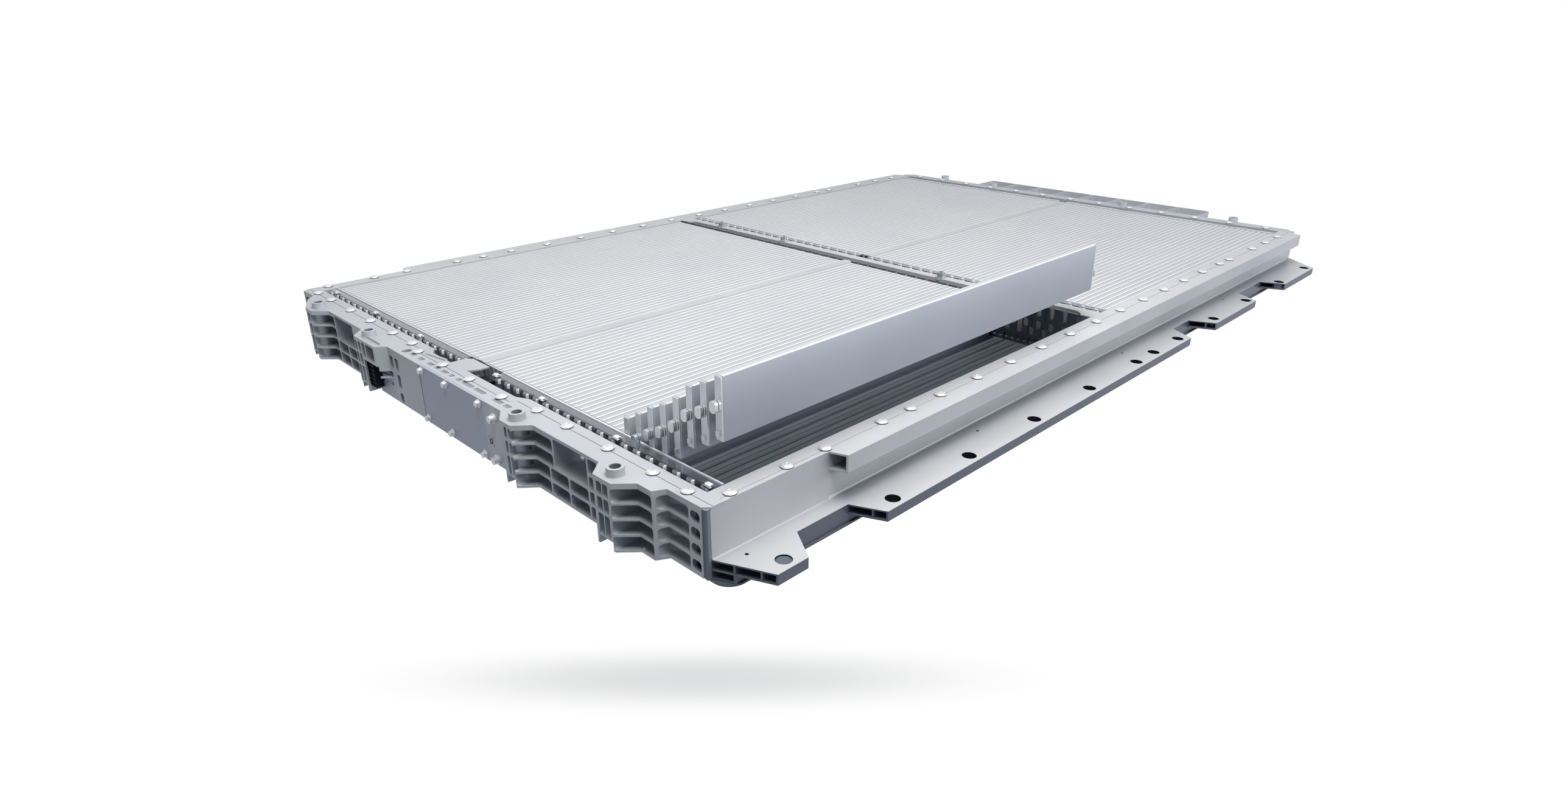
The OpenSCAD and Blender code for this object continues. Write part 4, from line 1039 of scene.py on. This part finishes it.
# Studio: the pack hangs over a white floor. A soft lamp overhead gives most of the light,
# one fills the front and one comes from the right
studioSettings = {
    "floorZ": -1.2, "floorHalf": 40.0, "paperColour": "#717f97",
    # Long soft oval painted darker on the floor (painted shadow), in which the pack's real shadow also
    # shows
    "shadowMiddle": (-0.33, 0.31), "shadowTurn": math.radians(-45), "shadowReach": (1.22, 0.19),
    "shadowDepth": 0.27,
    "skyColour": "#c4cfe6", "skyStrength": 0.14,
    "lamps": [
        {"name": "overhead", "place": (-1.0, -0.95, 2.5), "aim": (-0.5, -0.45, 0.0),
         "size": (1.5, 1.8), "power": 82.0, "colour": "#fffcf7"},
        {"name": "frontFill", "place": (-4.6, 0.3, 0.7), "aim": (-1.1, 0.0, 0.05),
         "size": (2.4, 1.2), "power": 9.5, "colour": "#dfe8ff"},
        {"name": "rightSoft", "place": (2.2, -4.0, 1.5), "aim": (0.1, 0.0, 0.1),
         "size": (3.6, 1.6), "power": 86.0, "colour": "#f4f7ff"},
    ],
}


def lookShare(tree):
    # 1 where the camera looks, straight or by a reflection or a clear part, and 0 for the
    # light that falls on the pack
    path = addNode(tree, "ShaderNodeLightPath")
    seen = path.outputs["Is Camera Ray"]
    for kind in ("Is Glossy Ray", "Is Transmission Ray"):
        seen = addNode(tree, "ShaderNodeMath", {"operation": "ADD", "use_clamp": True},
                       {0: seen, 1: path.outputs[kind]}).outputs[0]
    return seen


def makeStudio(s):
    half, z = s["floorHalf"], s["floorZ"]
    mesh = bpy.data.meshes.new("studioFloor")
    mesh.from_pydata(levelRectangle(-half, half, -half, half, z), [], [(0, 1, 2, 3)])
    floor = bpy.data.objects.new("studioFloor", mesh)
    bpy.context.scene.collection.objects.link(floor)
    material, tree = newMaterial("whitePaperFloor")
    place = addNode(tree, "ShaderNodeTexCoord").outputs["Object"]
    oval = addNode(tree, "ShaderNodeMapping", {"vector_type": "TEXTURE"},
                   {"Vector": place, "Location": (*s["shadowMiddle"], z),
                    "Rotation": (0, 0, s["shadowTurn"]),
                    "Scale": (*s["shadowReach"], 1.0)}).outputs["Vector"]
    reach = addNode(tree, "ShaderNodeVectorMath", {"operation": "LENGTH"}, {0: oval}).outputs["Value"]
    # Painted shadow: towards the oval's middle less white glow and more of the dark paper shows
    paintedShadowFade = addNode(tree, "ShaderNodeMapRange", {"interpolation_type": "SMOOTHERSTEP"},
                   {"Value": reach, "From Min": 0.0, "From Max": 1.0,
                    "To Min": 1 - s["shadowDepth"], "To Max": 1.0}).outputs["Result"]
    paper = addNode(tree, "ShaderNodeBsdfDiffuse", None, {"Color": hexColour(s["paperColour"])})
    glow = addNode(tree, "ShaderNodeEmission", None, {"Color": (1, 1, 1, 1), "Strength": 1.0})
    white = addNode(tree, "ShaderNodeMath", {"operation": "MULTIPLY"},
                    {0: lookShare(tree), 1: paintedShadowFade}).outputs[0]
    blend = addNode(tree, "ShaderNodeMixShader", None,
                    {0: white, 1: paper.outputs[0], 2: glow.outputs[0]})
    finishMaterial(tree, blend.outputs[0])
    mesh.materials.append(material)

    world = bpy.data.worlds.new("studioSky")
    bpy.context.scene.world = world
    world.use_nodes = True
    tree = world.node_tree
    tree.nodes.clear()
    sky = addNode(tree, "ShaderNodeBackground", None,
                  {"Color": hexColour(s["skyColour"]), "Strength": s["skyStrength"]})
    white = addNode(tree, "ShaderNodeBackground", None, {"Color": (1, 1, 1, 1), "Strength": 1.0})
    mix = addNode(tree, "ShaderNodeMixShader", None,
                  {0: lookShare(tree), 1: sky.outputs[0], 2: white.outputs[0]})
    output = addNode(tree, "ShaderNodeOutputWorld")
    tree.links.new(mix.outputs[0], output.inputs["Surface"])

    for lamp in s["lamps"]:
        data = bpy.data.lights.new(lamp["name"], "AREA")
        data.shape = "RECTANGLE"
        data.size, data.size_y = lamp["size"]
        data.energy = lamp["power"]
        data.color = hexColour(lamp["colour"])[:3]
        light = bpy.data.objects.new(lamp["name"], data)
        look = Vector(lamp["aim"]) - Vector(lamp["place"])
        light.matrix_world = (Matrix.Translation(lamp["place"])
                              @ look.to_track_quat("-Z", "Y").to_matrix().to_4x4())
        bpy.context.scene.collection.objects.link(light)


makeStudio(studioSettings)
bpy.context.scene.view_settings.view_transform = "Standard"
print("studio ready")
